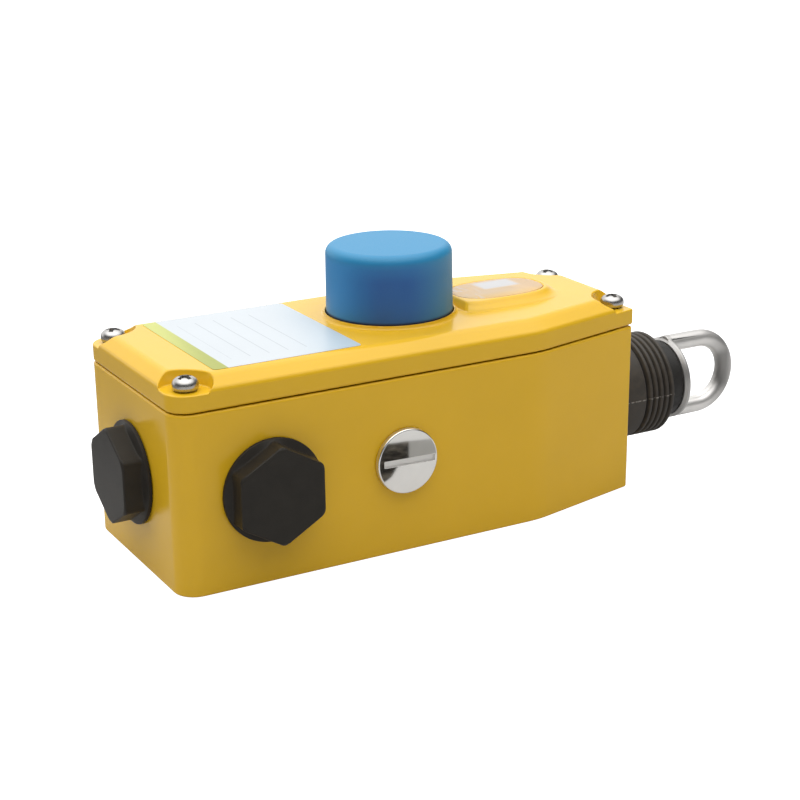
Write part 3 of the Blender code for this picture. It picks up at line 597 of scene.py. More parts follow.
def black_plastic(look, colours):
    """Glass-filled black polyamide: fine grain and a low sheen."""
    clouds = look.noise(5 * MM, 3)
    grain = look.noise(0.3 * MM, 3)
    tone = look.mix(clouds, shade(colours.plug, 0.8), shade(colours.plug, 1.3))
    return look.surface({
        "Base Color": tone,
        "Specular IOR Level": 0.17,
        "Roughness": 0.36 + 0.16 * grain,
        "Normal": look.bump(grain, 0.04 * MM, 0.7),
    })


def dark_plastic(look, colours):
    """Dark grey moulded plastic of the contact blocks."""
    grain = look.noise(0.4 * MM, 2)
    tone = look.mix(look.noise(7 * MM), shade(colours.block, 0.9), shade(colours.block, 1.1))
    return look.surface({
        "Base Color": tone,
        "Roughness": 0.45 + 0.1 * grain,
        "Normal": look.bump(grain, 0.03 * MM, 0.6),
    })


def rubber(look, colours):
    """Moulded rubber: grey bloom on the ribs' crests, and painted shade that darkens the grooves between them
    and the end ring.
    """
    rope = bpy.context.scene.switch_rope_end
    bloom = look.ramp(look.noise(3 * MM, 4), 0.42, 0.72)
    grain = look.noise(0.45 * MM, 3)
    axis = (0, 0, rope.axis_height)
    spoke = look.node("ShaderNodeVectorMath", {"operation": "SUBTRACT"}, {0: look.place(), 1: axis})
    spoke = look.node("ShaderNodeVectorMath", {"operation": "MULTIPLY"}, {0: spoke, 1: (0, 1, 1)})
    radius = look.node("ShaderNodeVectorMath", {"operation": "LENGTH"}, {0: spoke}, 1)
    # Painted shade: the grooves and the end ring, where the ribs shade them, darken to a fifth of the
    # rubber's tone.
    lit_crest = look.ramp(radius, rope.boot - rope.rib_depth, rope.boot - 0.2 * MM)
    tone = look.mix(bloom, shade(colours.rubber, 0.85), shade(colours.rubber, 1.3))
    tone = look.mix(lit_crest, shade(colours.rubber, 0.22), tone)
    parting = look.maths("ABSOLUTE", look.axis("Z") - rope.axis_height, 0) < 0.2 * MM
    flecks = look.ramp(look.noise(0.8 * MM, 3), 0.42, 0.62)
    flecks = parting * flecks * (radius > rope.boot - 0.6 * MM)
    tone = look.mix(flecks, tone, shade(colours.flash, 1))
    return look.surface({
        "Base Color": tone,
        "Roughness": 0.55 + 0.15 * bloom,
        "Normal": look.bump(grain, 0.05 * MM, 0.6),
    })


def steel(look, colours):
    """Satin stainless steel, tumbled smooth and lightly scuffed, with painted shade towards the eye's far
    end, on the bar's top and on the flange, and a painted dark reflection in the bend.
    """
    scuffs = look.noise(0.7 * MM, 4, stretch=(0.35, 1.0, 1.0))
    haze = look.noise(4 * MM, 3)
    x, z = look.axis("X"), look.axis("Z")
    axis = middle("rope_eye").z
    tone = look.mix(haze, shade(colours.steel, 1.25), shade(colours.steel, 1.5))
    # Painted shade: darker towards the eye's far end.
    tone = look.mix(look.ramp(x, EYE_HIGH.x - 13 * MM, EYE_HIGH.x - 4 * MM), tone, shade(colours.steel, 0.78))
    # Painted shade: the top of the bar a little darker.
    crown = look.ramp(z, axis + 10.5 * MM, axis + 13 * MM)
    tone = look.mix(crown, tone, shade(colours.steel, 0.95))
    # Painted reflection: a dark patch round the far part of the bend, level with the axis.
    dark_reflection = look.band(z, axis - 8 * MM, axis + 8 * MM, 3.5 * MM)
    dark_reflection = dark_reflection * look.band(x, EYE_HIGH.x - 8 * MM, EYE_HIGH.x - 1.5 * MM, 2.5 * MM)
    tone = look.mix(0.55 * dark_reflection, tone, shade(colours.steel, 0.2))
    # Painted shade: the flange darker than the bar.
    front = BOOT_HIGH.x + GAP + bpy.context.scene.switch_rope_end.flange_thick
    tone = look.mix(look.ramp(x, front, front + 0.5 * MM), shade(colours.steel, 0.75), tone)
    return look.surface({
        "Base Color": tone,
        "Metallic": 0.72,
        "Roughness": 0.26 + 0.2 * scuffs,
        "Normal": look.bump(scuffs, 0.03 * MM, 0.5),
    })


def plating(look, colours):
    """Bright plated steel, duller where the slotted screw's slot is milled."""
    sizes = bpy.context.scene.switch_housing
    haze = look.noise(3 * MM, 3)
    milled = look.axis("Y") > DISC_LOW.y + 0.45 * MM
    milled = milled * (look.axis("Y") < -sizes.width / 2)
    tone = look.mix(haze, shade(colours.plating, 0.94), shade(colours.plating, 1.04))
    return look.surface({
        "Base Color": tone,
        "Metallic": 1.0,
        "Roughness": 0.03 + 0.03 * haze + 0.4 * milled,
    })


def window_plastic(look, colours):
    """Milky polycarbonate with a warm tint, a painted yellow reflection at its front, faint pale streaks by
    the cap, and a pale patch that stands for a card close behind it and a painted highlight on it.
    """
    haze = look.noise(5 * MM, 3)
    x, y = look.axis("X"), look.axis("Y")
    tone = look.mix(haze, shade(colours.lens, 0.93), shade(colours.lens, 1.06))
    # Painted reflection: the lens's front takes on the housing's yellow.
    tone = look.mix(look.ramp(0 - y, 3 * MM, 9 * MM), tone, shade(colours.lens_front_reflection, 1))
    # Faint pale streaks towards the lens's end by the cap.
    streaks = look.ramp(look.noise(1.6 * MM, 2, stretch=(1.0, 0.3, 1.0)), 0.52, 0.66)
    streaks = streaks * (1 - look.ramp(x, 32 * MM, 38 * MM))
    tone = look.mix(0.55 * streaks, tone, shade(colours.lens_card_and_highlight, 1.5))
    # A pale, nearly opaque patch in the lens's middle: the card behind it together with a painted highlight.
    card = look.band(x, *WINDOW_CARD_X, WINDOW_CARD_SOFT) * look.band(y, *WINDOW_CARD_Y, WINDOW_CARD_SOFT)
    return look.surface({
        "Base Color": look.mix(card, tone, shade(colours.lens_card_and_highlight, 1)),
        "Roughness": 0.06 + 0.06 * haze,
        "Alpha": 0.62 + 0.3 * card,
    })


def label_film(look, colours):
    """Printed film: a white field with blank ruled rows, fading to blue, and a lime strip along one end."""
    x, y = look.axis("X"), look.axis("Y")
    fibre = look.noise(1.5 * MM, 3)
    field = look.mix(look.noise(16 * MM), shade(colours.label, 0.97), shade(colours.label, 1.03))
    fade = look.ramp(x - 0.3 * y, LABEL_X[1] - 16 * MM, LABEL_X[1] + 8 * MM)
    field = look.mix(fade, field, shade(colours.label_fade, 1))
    inside = (x > RULES_X[0]) * (x < RULES_X[1]) * (y > RULES_Y[0]) * (y < RULES_Y[1])
    rows = look.maths("PINGPONG", x - RULES_X[0], RULE_PITCH / 2) < RULE_WIDTH / 2
    field = look.mix(0.5 * rows * inside, field, shade(colours.label_rule, 1))
    strip = look.ramp(x, LABEL_X[0] + STRIP - 0.15 * MM, LABEL_X[0] + STRIP + 0.15 * MM)
    corner = -STRIP_SLANT * LABEL_X[0]
    lightened = look.ramp(y - STRIP_SLANT * x, corner - 32 * MM, corner + 16 * MM)
    lime = look.mix(lightened, shade(colours.label_strip, 1), shade(colours.label_lemon, 1))
    return look.surface({
        "Base Color": look.mix(strip, lime, field),
        "Roughness": 0.3 + 0.1 * fibre,
        "Normal": look.bump(fibre, 0.02 * MM, 0.4),
    })


def floor_finish(look, colours):
    """White floor with a soft light of its own, which throws less light than it shows."""
    seen = look.node("ShaderNodeLightPath", output=0)
    haze = look.noise(0.4, 2)
    dim = look.ramp(look.axis("Y") - look.axis("X"), 0.14, 0.3)
    tone = look.mix(dim, look.mix(haze, grey(0.44), grey(0.46)), grey(0.2))
    glow = look.mix(dim, grey(0.14), grey(0.06))
    return look.surface({
        "Base Color": tone,
        "Emission Color": look.mix(seen, glow, grey(1.0)),
        "Emission Strength": 1.0,
        "Roughness": 0.7,
        "Specular IOR Level": 0.0,
    })


def card_finish(look, colours):
    """Card that only mirrors show: mottled black, and grey beyond a straight edge."""
    mottle = look.ramp(look.noise(4 * MM, 4), 0.4, 0.7)
    near, far = mirrored(*CARD_EDGE[0]), mirrored(*CARD_EDGE[1])
    along = far - near
    beyond = (look.axis("X") - near.x) * along.y < (look.axis("Y") - near.y) * along.x
    dark = look.mix(mottle, shade(colours.card, 1), shade(colours.card_mottle, 1))
    tone = look.mix(beyond, dark, shade(colours.card_grey, 1))
    return look.surface({"Base Color": tone, "Roughness": 0.8, "Specular IOR Level": 0.0})


FINISHES = {
    "yellow_enamel": enamel,
    "black_polyamide": black_plastic,
    "block_plastic": dark_plastic,
    "blue_plastic": blue_plastic,
    "rubber": rubber,
    "steel": steel,
    "plating": plating,
    "window_plastic": window_plastic,
    "label_film": label_film,
    "floor": floor_finish,
    "card": card_finish,
}
# A plain finish's colour, grain, darkest and lightest shade, least and added roughness, and metal or not
PLAIN_FINISHES = {
    "screw_steel": ("steel", 1.2 * MM, (0.6, 0.95), (0.2, 0.16), 1.0),
    "brass": ("brass", 3 * MM, (0.9, 1.1), (0.22, 0.14), 1.0),
    "white_plastic": ("white", 4 * MM, (0.94, 1.04), (0.4, 0.12), 0.0),
    "green_plastic": ("flag", 4 * MM, (0.92, 1.08), (0.4, 0.12), 0.0),
}


def finish(name):
    """The named finish, made when it is first asked for."""
    found = bpy.data.materials.get(f"finish_{name}")
    if found:
        return found
    look = Look(bpy.data.materials.new(f"finish_{name}"))
    colours = bpy.context.scene.switch_colours
    if name in PLAIN_FINISHES:
        tone, *rest = PLAIN_FINISHES[name]
        return plain(look, getattr(colours, tone), *rest)
    return FINISHES[name](look, colours)


# Castings

# Plan of the housing
END_CORNER = 0.8 * MM
TAPER_ROUND = 30 * MM

# Lid: skin, room under it, gasket groove, and the well that the reset cap sinks into
LID_SKIN = 2.8 * MM
LID_ROOM_X = (-60 * MM, 61 * MM)
GROOVE = (0.7 * MM, 2.3 * MM)
GROOVE_DEPTH = 1.2 * MM
GASKET_END = 70.4 * MM
CUP_RADIUS = 20.6 * MM
WELL_FLOOR = 52.6 * MM
WELL_SKIN = 2 * MM
BUSH_HOLE = 6.3 * MM
POCKET_SLOPE = 1.4 * MM
POCKET_STEPS = 24

# Window boss, whose side gives shares of the way from foot to crown in plan and in height, and its lens
WINDOW_X = (LENS_LOW.x + LENS_HIGH.x) / 2
BOSS_FOOT = (35.4 * MM, 28.2 * MM)
BOSS_CROWN = (31.4 * MM, 20.8 * MM)
BOSS_SIDE = ((0, 0), (0.7, 0.76), (0.86, 0.9), (0.97, 0.975), (1.08, 1.0))
BOSS_RUN = 1.5 * MM
BOSS_STOP = 0.49
BOSS_STEPS = 144
BOSS_FAR_POWER = 2.4
BOSS_NEAR_POWER = 7
SIGHT = (25 * MM, 14 * MM)
LENS_POWER = 2.6
LENS_GAP = 0.08 * MM
# Patch in the lens that stands for the card behind it and a painted highlight on it.
WINDOW_CARD_X = (37 * MM, 51.5 * MM)
WINDOW_CARD_Y = (-1.5 * MM, 8.5 * MM)
WINDOW_CARD_SOFT = 2.2 * MM

# Base: pillars, bosses, neck and holes
PILLAR = 4.6 * MM
LEDGE = [(66.5 * MM, 23 * MM), (74 * MM, 21.2 * MM)]
LEDGE_DEPTH = 9 * MM
NECK_RADIUS = 12.6 * MM
SHAFT_HOLE = 7.3 * MM
ENTRY_RADIUS = 10.3 * MM
SEAT_RADIUS = 13.3 * MM
SEAT_DEPTH = 1.2 * MM
DISC_SHANK = 6 * MM
DISC_HOLE = 6.3 * MM
DISC_SEAT = 8.3 * MM
SHANK = 1.9 * MM
SHANK_LENGTH = 16 * MM
MOUNT_BOSSES = [(x * MM, y * MM) for x in (-50, 55) for y in (-14, 14)]
MOUNT_BOSS, MOUNT_BOSS_TOP = 5 * MM, 12 * MM
MOUNT_HOLE, MOUNT_HOLE_TOP = 2.1 * MM, 9 * MM
PLATE_HOLES = [(0, -22 * MM), (0, 22 * MM)]
PLATE_HOLE, PLATE_HOLE_FOOT, PLATE_HOLE_TOP = 1.8 * MM, 1.4 * MM, 11 * MM
EARTH_BOSS, EARTH_BOSS_TOP = 4.5 * MM, 9 * MM
EARTH_HOLE, EARTH_HOLE_FOOT, EARTH_HOLE_TOP = 2 * MM, 3 * MM, 13 * MM
HOLE_STEPS = 24

# Label film, its lime strip and the blank rows ruled on it
LABEL_X = (-60.4 * MM, -16.5 * MM)
LABEL_Y = (-25.5 * MM, 26 * MM)
LABEL_THICK = 0.08 * MM
LABEL_CORNER = 1.2 * MM
STRIP = 4.2 * MM
RULES_X = (-52.5 * MM, -29 * MM)
RULES_Y = (-19 * MM, 19 * MM)
RULE_PITCH = 5.6 * MM
RULE_WIDTH = 0.3 * MM


def housing_plan(sizes, side, end=None, left=None, right=None):
    """The housing's plan, drawn in by side on its long walls and by end on its short ones."""
    end = side if end is None else end
    left = sizes.left_end if left is None else left
    right = sizes.rope_end if right is None else right
    lean = math.atan2(sizes.taper_in, sizes.taper_run)
    half = sizes.width / 2 - side
    kink = sizes.taper_start - side * math.tan(lean / 2)
    tip_x = right - end
    tip = half - (tip_x - kink) * math.tan(lean)
    round_left = max(sizes.corner - side, MM)
    round_right = max(END_CORNER - side, 0.4 * MM)
    lower = [(left + end, -half, round_left), (kink, -half, TAPER_ROUND), (tip_x, -tip, round_right)]
    upper = [(x, -y, radius) for x, y, radius in reversed(lower)]
    return filleted(lower + upper, 8)


def walls(sizes, profile, end_share=1.0, overhang=0.0, draft=0.0):
    """A solid whose walls follow a profile of (inset, height) points round the housing's plan."""
    rings = []
    for inset, height in profile:
        right = sizes.rope_end + overhang - draft * max(0.0, 1 - height / sizes.seam)
        plan = housing_plan(sizes, inset, inset * end_share, right=right)
        rings.append([(x, y, height) for x, y in plan])
    return skin(rings)


def screw_place(corner):
    """The lid screw's axis in plan."""
    spot = middle(f"lid_screw_{corner}")
    return spot.x, spot.y


def entries(sizes):
    """The conduit entries: where each meets its wall, and the way out."""
    side = middle("conduit_plug_front")
    end = middle("conduit_plug_end")
    return {
        "front": (Vector((side.x, -sizes.width / 2, side.z)), FRONT_WAY),
        "back": (Vector((side.x, sizes.width / 2, side.z)), -FRONT_WAY),
        "end": (Vector((sizes.left_end, 0, end.z)), -ROPE_WAY),
    }


class SWITCH_OT_base(bpy.types.Operator):
    """Make the cast base with its walls, screw pillars, conduit entries and neck"""

    bl_idname = "rope_switch.base"
    bl_label = "Cast base"

    def execute(self, context):
        sizes = context.scene.switch_housing
        rope = context.scene.switch_rope_end
        wall = sizes.wall
        top = sizes.seam - sizes.seam_gap / 2
        profile = filleted(
            [
                (6 * MM, 0, 0),
                (0, 0, 0.7 * MM),
                (0, top, 0.7 * MM),
                (wall, top, 0.3 * MM),
                (wall, wall, 2 * MM),
                (wall + 3 * MM, wall, 0),
            ],
            5,
            closed=False,
        )
        base = walls(sizes, profile, draft=sizes.end_draft)
        posts = []
        for corner in SCREW_CORNERS:
            x, y = screw_place(corner)
            inside = min(x, sizes.rope_end - PILLAR - 0.4 * MM)
            posts.append(rod(PILLAR, wall / 2, top - 0.4 * MM, (inside, y, 0)))
        ledge = [(x, -y) for x, y in LEDGE] + [(x, y) for x, y in reversed(LEDGE)]
        posts.append(prism(ledge, top - LEDGE_DEPTH, top - 0.2 * MM))
        posts += [rod(MOUNT_BOSS, wall / 2, MOUNT_BOSS_TOP, (x, y, 0)) for x, y in MOUNT_BOSSES]
        earth = (*middle("earth_screw").xy, 0)
        posts.append(rod(EARTH_BOSS, wall / 2, EARTH_BOSS_TOP, earth))
        end = sizes.rope_end
        axis = (0, 0, rope.axis_height)
        posts.append(rod(NECK_RADIUS, end - wall / 2, BASE_HIGH.x, axis, ROPE_WAY, 96))
        base = joined(base, *posts)
        pit = sizes.seam + sizes.pocket_floor - SHANK_LENGTH - 1 * MM
        bores = [(SHANK + GAP, pit, 80 * MM, (*screw_place(corner), 0)) for corner in SCREW_CORNERS]
        bores += [(MOUNT_HOLE, -1 * MM, MOUNT_HOLE_TOP, (x, y, 0)) for x, y in MOUNT_BOSSES]
        bores += [(PLATE_HOLE, PLATE_HOLE_FOOT, PLATE_HOLE_TOP, (x, y, 0)) for x, y in PLATE_HOLES]
        bores.append((EARTH_HOLE, EARTH_HOLE_FOOT, EARTH_HOLE_TOP, earth))
        holes = [rod(*bore, steps=HOLE_STEPS) for bore in bores]
        for place, out in entries(sizes).values():
            holes.append(rod(ENTRY_RADIUS, -2 * wall, wall, place, out))
            holes.append(rod(SEAT_RADIUS, -SEAT_DEPTH, wall, place, out))
        disc = middle("slot_screw")
        spot = (disc.x, -sizes.width / 2, disc.z)
        holes.append(rod(DISC_HOLE, -2 * wall, wall, spot, FRONT_WAY))
        holes.append(rod(DISC_SEAT, -SEAT_DEPTH, wall, spot, FRONT_WAY))
        holes.append(rod(SHAFT_HOLE, end - 2 * wall, BASE_HIGH.x + wall, axis, ROPE_WAY))
        base = round_edges(cut(base, *holes), 0.2 * MM, 2)
        piece("base_casting", base, "yellow_enamel", "housing", ["housing_base"])
        return {"FINISHED"}


def boss_plan(inward, height):
    """The window boss's outline from its foot, 0, to its crown, 1: round towards the rope, cut straight
    towards the cap."""
    long, wide = (foot + (crown - foot) * inward for foot, crown in zip(BOSS_FOOT, BOSS_CROWN))
    stop = WINDOW_X - long * BOSS_STOP
    run = 1 + BOSS_RUN * (1 - inward) / (long / 2)
    powers = (BOSS_FAR_POWER, BOSS_NEAR_POWER)
    points = []
    for far, near in zip(*(oval(long, wide, WINDOW_X, power, BOSS_STEPS) for power in powers)):
        if far.x > WINDOW_X:
            points.append((WINDOW_X + (far.x - WINDOW_X) * run, far.y, height))
        else:
            points.append((max(near.x, stop), near.y, height))
    return points


def pocket_plan(corner, half, reach):
    """The plan of an open pocket: half an oval about the screw, open towards the lid's corner."""
    x, y = screw_place(corner)
    way = Vector((math.copysign(1, x), math.copysign(1, y))).normalized()
    across = Vector((-way.y, way.x))
    plan = []
    for k in range(POCKET_STEPS + 1):
        angle = math.pi * k / POCKET_STEPS
        plan.append(Vector((x, y)) + across * half * math.cos(angle) - way * reach * math.sin(angle))
    plan += [plan[-1] + way * 3 * half, plan[0] + way * 3 * half]
    return plan


class SWITCH_OT_lid(bpy.types.Operator):
    """Make the cast lid with its bevel, open screw pockets, reset collar and window boss"""

    bl_idname = "rope_switch.lid"
    bl_label = "Cast lid"

    def execute(self, context):
        sizes = context.scene.switch_housing
        fit = context.scene.switch_fittings
        low = sizes.seam + sizes.seam_gap / 2
        top = sizes.seam + sizes.lid_rise
        profile = filleted(
            [
                (6 * MM, low, 0),
                (0, low, 0.7 * MM),
                (0, sizes.seam + sizes.lid_side, sizes.lid_shoulder),
                (sizes.bevel_side, top, sizes.lid_brow),
                (sizes.bevel_side + 2 * MM, top, 0),
            ],
            5,
            closed=False,
        )
        lid = walls(sizes, profile, sizes.bevel_end / sizes.bevel_side, sizes.lid_overhang)
        cap = middle("reset_cap")
        centre = (cap.x, 0, 0)
        collar_top = top + fit.collar_rise
        foot = WELL_FLOOR - WELL_SKIN
        spread = fit.collar + fit.collar_foot
        cup = [
            (0, collar_top, 0),
            (fit.collar, collar_top, 0.25 * MM),
            (fit.collar + 0.1 * MM, top, 1.2 * MM),
            (spread, top - 0.06 * MM, 0),
            (spread, top - 1 * MM, 0),
            (CUP_RADIUS, top - 1 * MM, 0),
            (CUP_RADIUS, foot, 0),
            (0, foot, 0),
        ]
        rings = [boss_plan(0, top - 1 * MM)]
        rings += [boss_plan(inward, top + rise * fit.window_rise) for inward, rise in BOSS_SIDE]
        lid = joined(lid, lathed(cup, 5, centre), skin(rings))
        inset = sizes.bevel_side
        room = housing_plan(sizes, inset, None, LID_ROOM_X[0] - inset, LID_ROOM_X[1] + inset)
        seat = (LENS_HIGH.x - LENS_LOW.x + 2 * LENS_GAP, LENS_HIGH.y - LENS_LOW.y + 2 * LENS_GAP)
        above = top + 9 * MM
        cutters = [
            prism(room, low - 2 * MM, top - LID_SKIN),
            rod(fit.well, WELL_FLOOR, above, centre, steps=128),
            rod(BUSH_HOLE, foot - 2 * MM, WELL_FLOOR + 2 * MM, centre),
            prism(oval(*seat, WINDOW_X, LENS_POWER), LENS_LOW.z - GAP, above),
            prism(oval(*SIGHT, WINDOW_X, LENS_POWER), low, above),
        ]
        floor = sizes.seam + sizes.pocket_floor
        for corner in SCREW_CORNERS:
            rings = []
            for slope, height in ((0, floor), (POCKET_SLOPE, floor + 5 * MM)):
                plan = pocket_plan(corner, sizes.pocket + slope, sizes.pocket_reach + slope)
                rings.append([(x, y, height) for x, y in plan])
            cutters.append(skin(rings))
            spot = (*screw_place(corner), 0)
            cutters.append(rod(SHANK + GAP, low - 2 * MM, floor + 2 * MM, spot, steps=HOLE_STEPS))
        outer, inner = (housing_plan(sizes, inset, right=GASKET_END) for inset in GROOVE)
        groove = prism(outer, low - 1 * MM, low + GROOVE_DEPTH)
        cutters.append(cut(groove, prism(inner, low - 2 * MM, low + 2 * GROOVE_DEPTH)))
        lid = round_edges(cut(lid, *cutters), 0.4 * MM)
        piece("lid_casting", lid, "yellow_enamel", "housing", ["lid"])
        return {"FINISHED"}


class SWITCH_OT_label(bpy.types.Operator):
    """Make the bare label film on the lid's flat top"""

    bl_idname = "rope_switch.label"
    bl_label = "Label film"

    def execute(self, context):
        sizes = context.scene.switch_housing
        low = sizes.seam + sizes.lid_rise + 0.02 * MM
        high = low + LABEL_THICK
        corners = box_plan(*LABEL_X, *LABEL_Y)
        film = prism(filleted([(x, y, LABEL_CORNER) for x, y in corners], 6), low, high)
        piece("label_film", film, "label_film", "housing", [], even=False)
        return {"FINISHED"}


# Fittings


class SWITCH_OT_lid_screws(bpy.types.Operator):
    """Make the four pan-head lid screws with their cross recesses"""

    bl_idname = "rope_switch.lid_screws"
    bl_label = "Lid screws"

    EDGE = 1.1 * MM
    DOME_STEPS = 12
    DOME_POWER = 0.8
    WING_SECTIONS = ((1.5 * MM, 0.42 * MM, 0.9 * MM), (2.3 * MM, 0.66 * MM, 3.9 * MM))
    FIRST_TURN = 20
    NEXT_TURN = 33

    def recess(self):
        """Cutters for the cross recess: two tapered wings and a round middle."""
        rings = []
        for long, half, height in self.WING_SECTIONS:
            rings.append([(x, y, height) for x, y in box_plan(-long, long, -half, half)])
        middle_hole = rod(1.2 * MM, 1.3 * MM, 4 * MM, (0, 0, 0), steps=HOLE_STEPS)
        return spun(skin(rings), 0), spun(skin(rings), math.pi / 2), middle_hole

    def execute(self, context):
        sizes = context.scene.switch_housing
        fit = context.scene.switch_fittings
        under = sizes.seam + sizes.pocket_floor + GAP
        edge, power = self.EDGE, self.DOME_POWER
        dome = fit.screw_rise - edge
        crown = fit.screw_head
        profile = [(0, fit.screw_rise)]
        for k in range(1, self.DOME_STEPS):
            angle = math.radians(90 * (1 - k / self.DOME_STEPS))
            profile.append((crown * math.cos(angle) ** power, edge + dome * math.sin(angle) ** power))
        profile += [(crown, edge), (crown - 0.08 * MM, 0.5 * MM), (crown - 0.4 * MM, 0), (SHANK, 0)]
        profile += [(SHANK, 0.8 * MM - SHANK_LENGTH), (SHANK - 0.8 * MM, -SHANK_LENGTH), (0, -SHANK_LENGTH)]
        for i, corner in enumerate(SCREW_CORNERS):
            screw = cut(turned(profile, (0, 0, 0), steps=48), *self.recess())
            spun(round_edges(screw, 0.07 * MM, 2), math.radians(self.FIRST_TURN + self.NEXT_TURN * i))
            bmesh.ops.translate(screw, vec=(*screw_place(corner), under), verts=screw.verts)
            node = f"lid_screw_{corner}"
            piece(f"pan_screw_{corner}", screw, "screw_steel", "housing", [node])
        return {"FINISHED"}


class SWITCH_OT_plugs(bpy.types.Operator):
    """Make the three hexagon plugs in the conduit entries"""

    bl_idname = "rope_switch.plugs"
    bl_label = "Conduit plugs"

    STEPS = 144
    FLANGE_TOP = 2 * MM
    FLANGE_EDGE = 1.3 * MM
    SLOPE = 1.4 * MM
    BLUNT = 0.25 * MM
    CHAMFER = 1 * MM
    CHAMFER_RUN = 1.5
    CHAMFER_DROPS = (0.03 * MM, 0.12 * MM, 0.3 * MM, 0.5 * MM, 0.7 * MM)
    EDGE_ROUND = 0.3 * MM
    STEM = 10 * MM
    BORE = 7.5 * MM
    BORE_TOP = 1 * MM

    def flange_height(self, flange, radius):
        """Height of the flange's face, which slopes down towards its rim."""
        past = max(0.0, radius - (flange - self.SLOPE))
        return self.FLANGE_TOP - (self.FLANGE_TOP - self.FLANGE_EDGE) * past / self.SLOPE

    def head_rings(self, fit):
        """Rings from the middle of the hexagon's face down its sides and out to the flange's rim."""
        flat = fit.plug_flats / 2
        corner = flat / math.cos(math.pi / 6)
        angles = [math.tau * k / self.STEPS for k in range(self.STEPS)]
        hexagon = []
        for angle in angles:
            lean = (angle + math.pi / 6) % (math.pi / 3) - math.pi / 6
            hexagon.append(min(flat / math.cos(lean), corner - self.BLUNT))
        face = corner - self.CHAMFER

        def ring(radii, heights):
            return [(r * math.cos(a), r * math.sin(a), h) for a, r, h in zip(angles, radii, heights)]

        rings = [[(0, 0, fit.plug_face)]]
        for share in (0.5, 0.96):
            rings.append(ring([min(r, face) * share for r in hexagon], [fit.plug_face] * self.STEPS))
        for drop in self.CHAMFER_DROPS:
            limit = face + drop * self.CHAMFER_RUN
            soft = max(0.0, self.EDGE_ROUND - drop)
            radii = [min(r - soft, limit) for r in hexagon]
            rings.append(ring(radii, [fit.plug_face - drop] * self.STEPS))
        feet = [self.flange_height(fit.plug_flange, r) for r in hexagon]
        rings.append(ring(hexagon, [h + 0.35 * MM for h in feet]))
        spread = [r + 0.3 * MM for r in hexagon]
        rings.append(ring(spread, [self.flange_height(fit.plug_flange, r) for r in spread]))
        for inset, drop in ((0.15 * MM, 0), (0, 0.2 * MM)):
            radius, height = fit.plug_flange - inset, self.FLANGE_EDGE - drop
            rings.append(ring([radius] * self.STEPS, [height] * self.STEPS))
        return rings

    def execute(self, context):
        sizes = context.scene.switch_housing
        fit = context.scene.switch_fittings
        thread = ENTRY_RADIUS - GAP
        stem = [(fit.plug_flange, GAP), (thread, GAP), (thread, -self.STEM)]
        stem += [(self.BORE, -self.STEM), (self.BORE, self.BORE_TOP), (0, self.BORE_TOP)]
        for name, (place, out) in entries(sizes).items():
            plug = skin(self.head_rings(fit) + [ring_of(r, h, self.STEPS) for r, h in stem])
            aimed(spun(plug, math.pi / 2 if name == "end" else 0.0), place, out)
            nodes = [f"conduit_plug_{name}"]
            piece(f"hexagon_plug_{name}", plug, "black_polyamide", "housing", nodes)
        return {"FINISHED"}


class SWITCH_OT_slot_screw(bpy.types.Operator):
    """Make the large slotted screw on the front wall"""

    bl_idname = "rope_switch.slot_screw"
    bl_label = "Slotted screw"

    SLOT_ENDS = (1.9 * MM, 0.9 * MM)
    SLOT_DEPTH = 0.7 * MM
    SLOT_TURN = -1.5

    def execute(self, context):
        sizes = context.scene.switch_housing
        fit = context.scene.switch_fittings
        head = -sizes.width / 2 - DISC_LOW.y
        radius = fit.disc
        corners = [
            (0, head, 0),
            (radius, head, 0.45 * MM),
            (radius, GAP, 0.1 * MM),
            (DISC_SHANK, GAP, 0),
            (DISC_SHANK, -6 * MM, 0),
            (0, -6 * MM, 0),
        ]
        half = fit.slot / 2
        plan = box_plan(self.SLOT_ENDS[0] - radius, radius - self.SLOT_ENDS[1], -half, half)
        slot = filleted([(x, y, 0.2 * MM) for x, y in plan], 4)
        screw = cut(lathed(corners, 5, (0, 0, 0)), prism(slot, head - self.SLOT_DEPTH, 4 * MM))
        spun(round_edges(screw, 0.08 * MM, 2), math.radians(self.SLOT_TURN))
        spot = middle("slot_screw")
        aimed(screw, (spot.x, -sizes.width / 2, spot.z), FRONT_WAY)
        piece("slotted_disc_screw", screw, "plating", "housing", ["slot_screw"])
        return {"FINISHED"}


class SWITCH_OT_reset_cap(bpy.types.Operator):
    """Make the blue push-to-reset cap"""

    bl_idname = "rope_switch.reset_cap"
    bl_label = "Reset cap"

    WALL = 2.4 * MM
    LIP = 2.6 * MM
    SOCKET = (4.3 * MM, 6.5 * MM)

    def execute(self, context):
        fit = context.scene.switch_fittings
        top = CAP_HIGH.z
        foot = CAP_LOW.z
        lip = foot + self.LIP
        ceiling = top - 3 * MM
        socket_end = top - 9 * MM
        socket_top = top - 4 * MM
        bore, post = self.SOCKET
        corners = [
            (0, top, 0),
            (fit.cap, top - 0.1 * MM, fit.cap_round),
            (fit.cap + 0.1 * MM, lip + 4.2 * MM, 4 * MM),
            (fit.cap_lip, lip + 0.9 * MM, 0.8 * MM),
            (fit.cap_lip, foot, 0.3 * MM),
            (fit.cap_lip - self.WALL, foot, 0.3 * MM),
            (fit.cap - self.WALL, ceiling, 1 * MM),
            (post, ceiling, 1 * MM),
            (post, socket_end, 0.2 * MM),
            (bore, socket_end, 0.2 * MM),
            (bore, socket_top, 0),
            (0, socket_top, 0),
        ]
        cap = lathed(corners, 8, (*middle("reset_cap").xy, 0), steps=144)
        piece("reset_cap_shell", cap, "blue_plastic", "reset_button", ["reset_cap"])
        return {"FINISHED"}


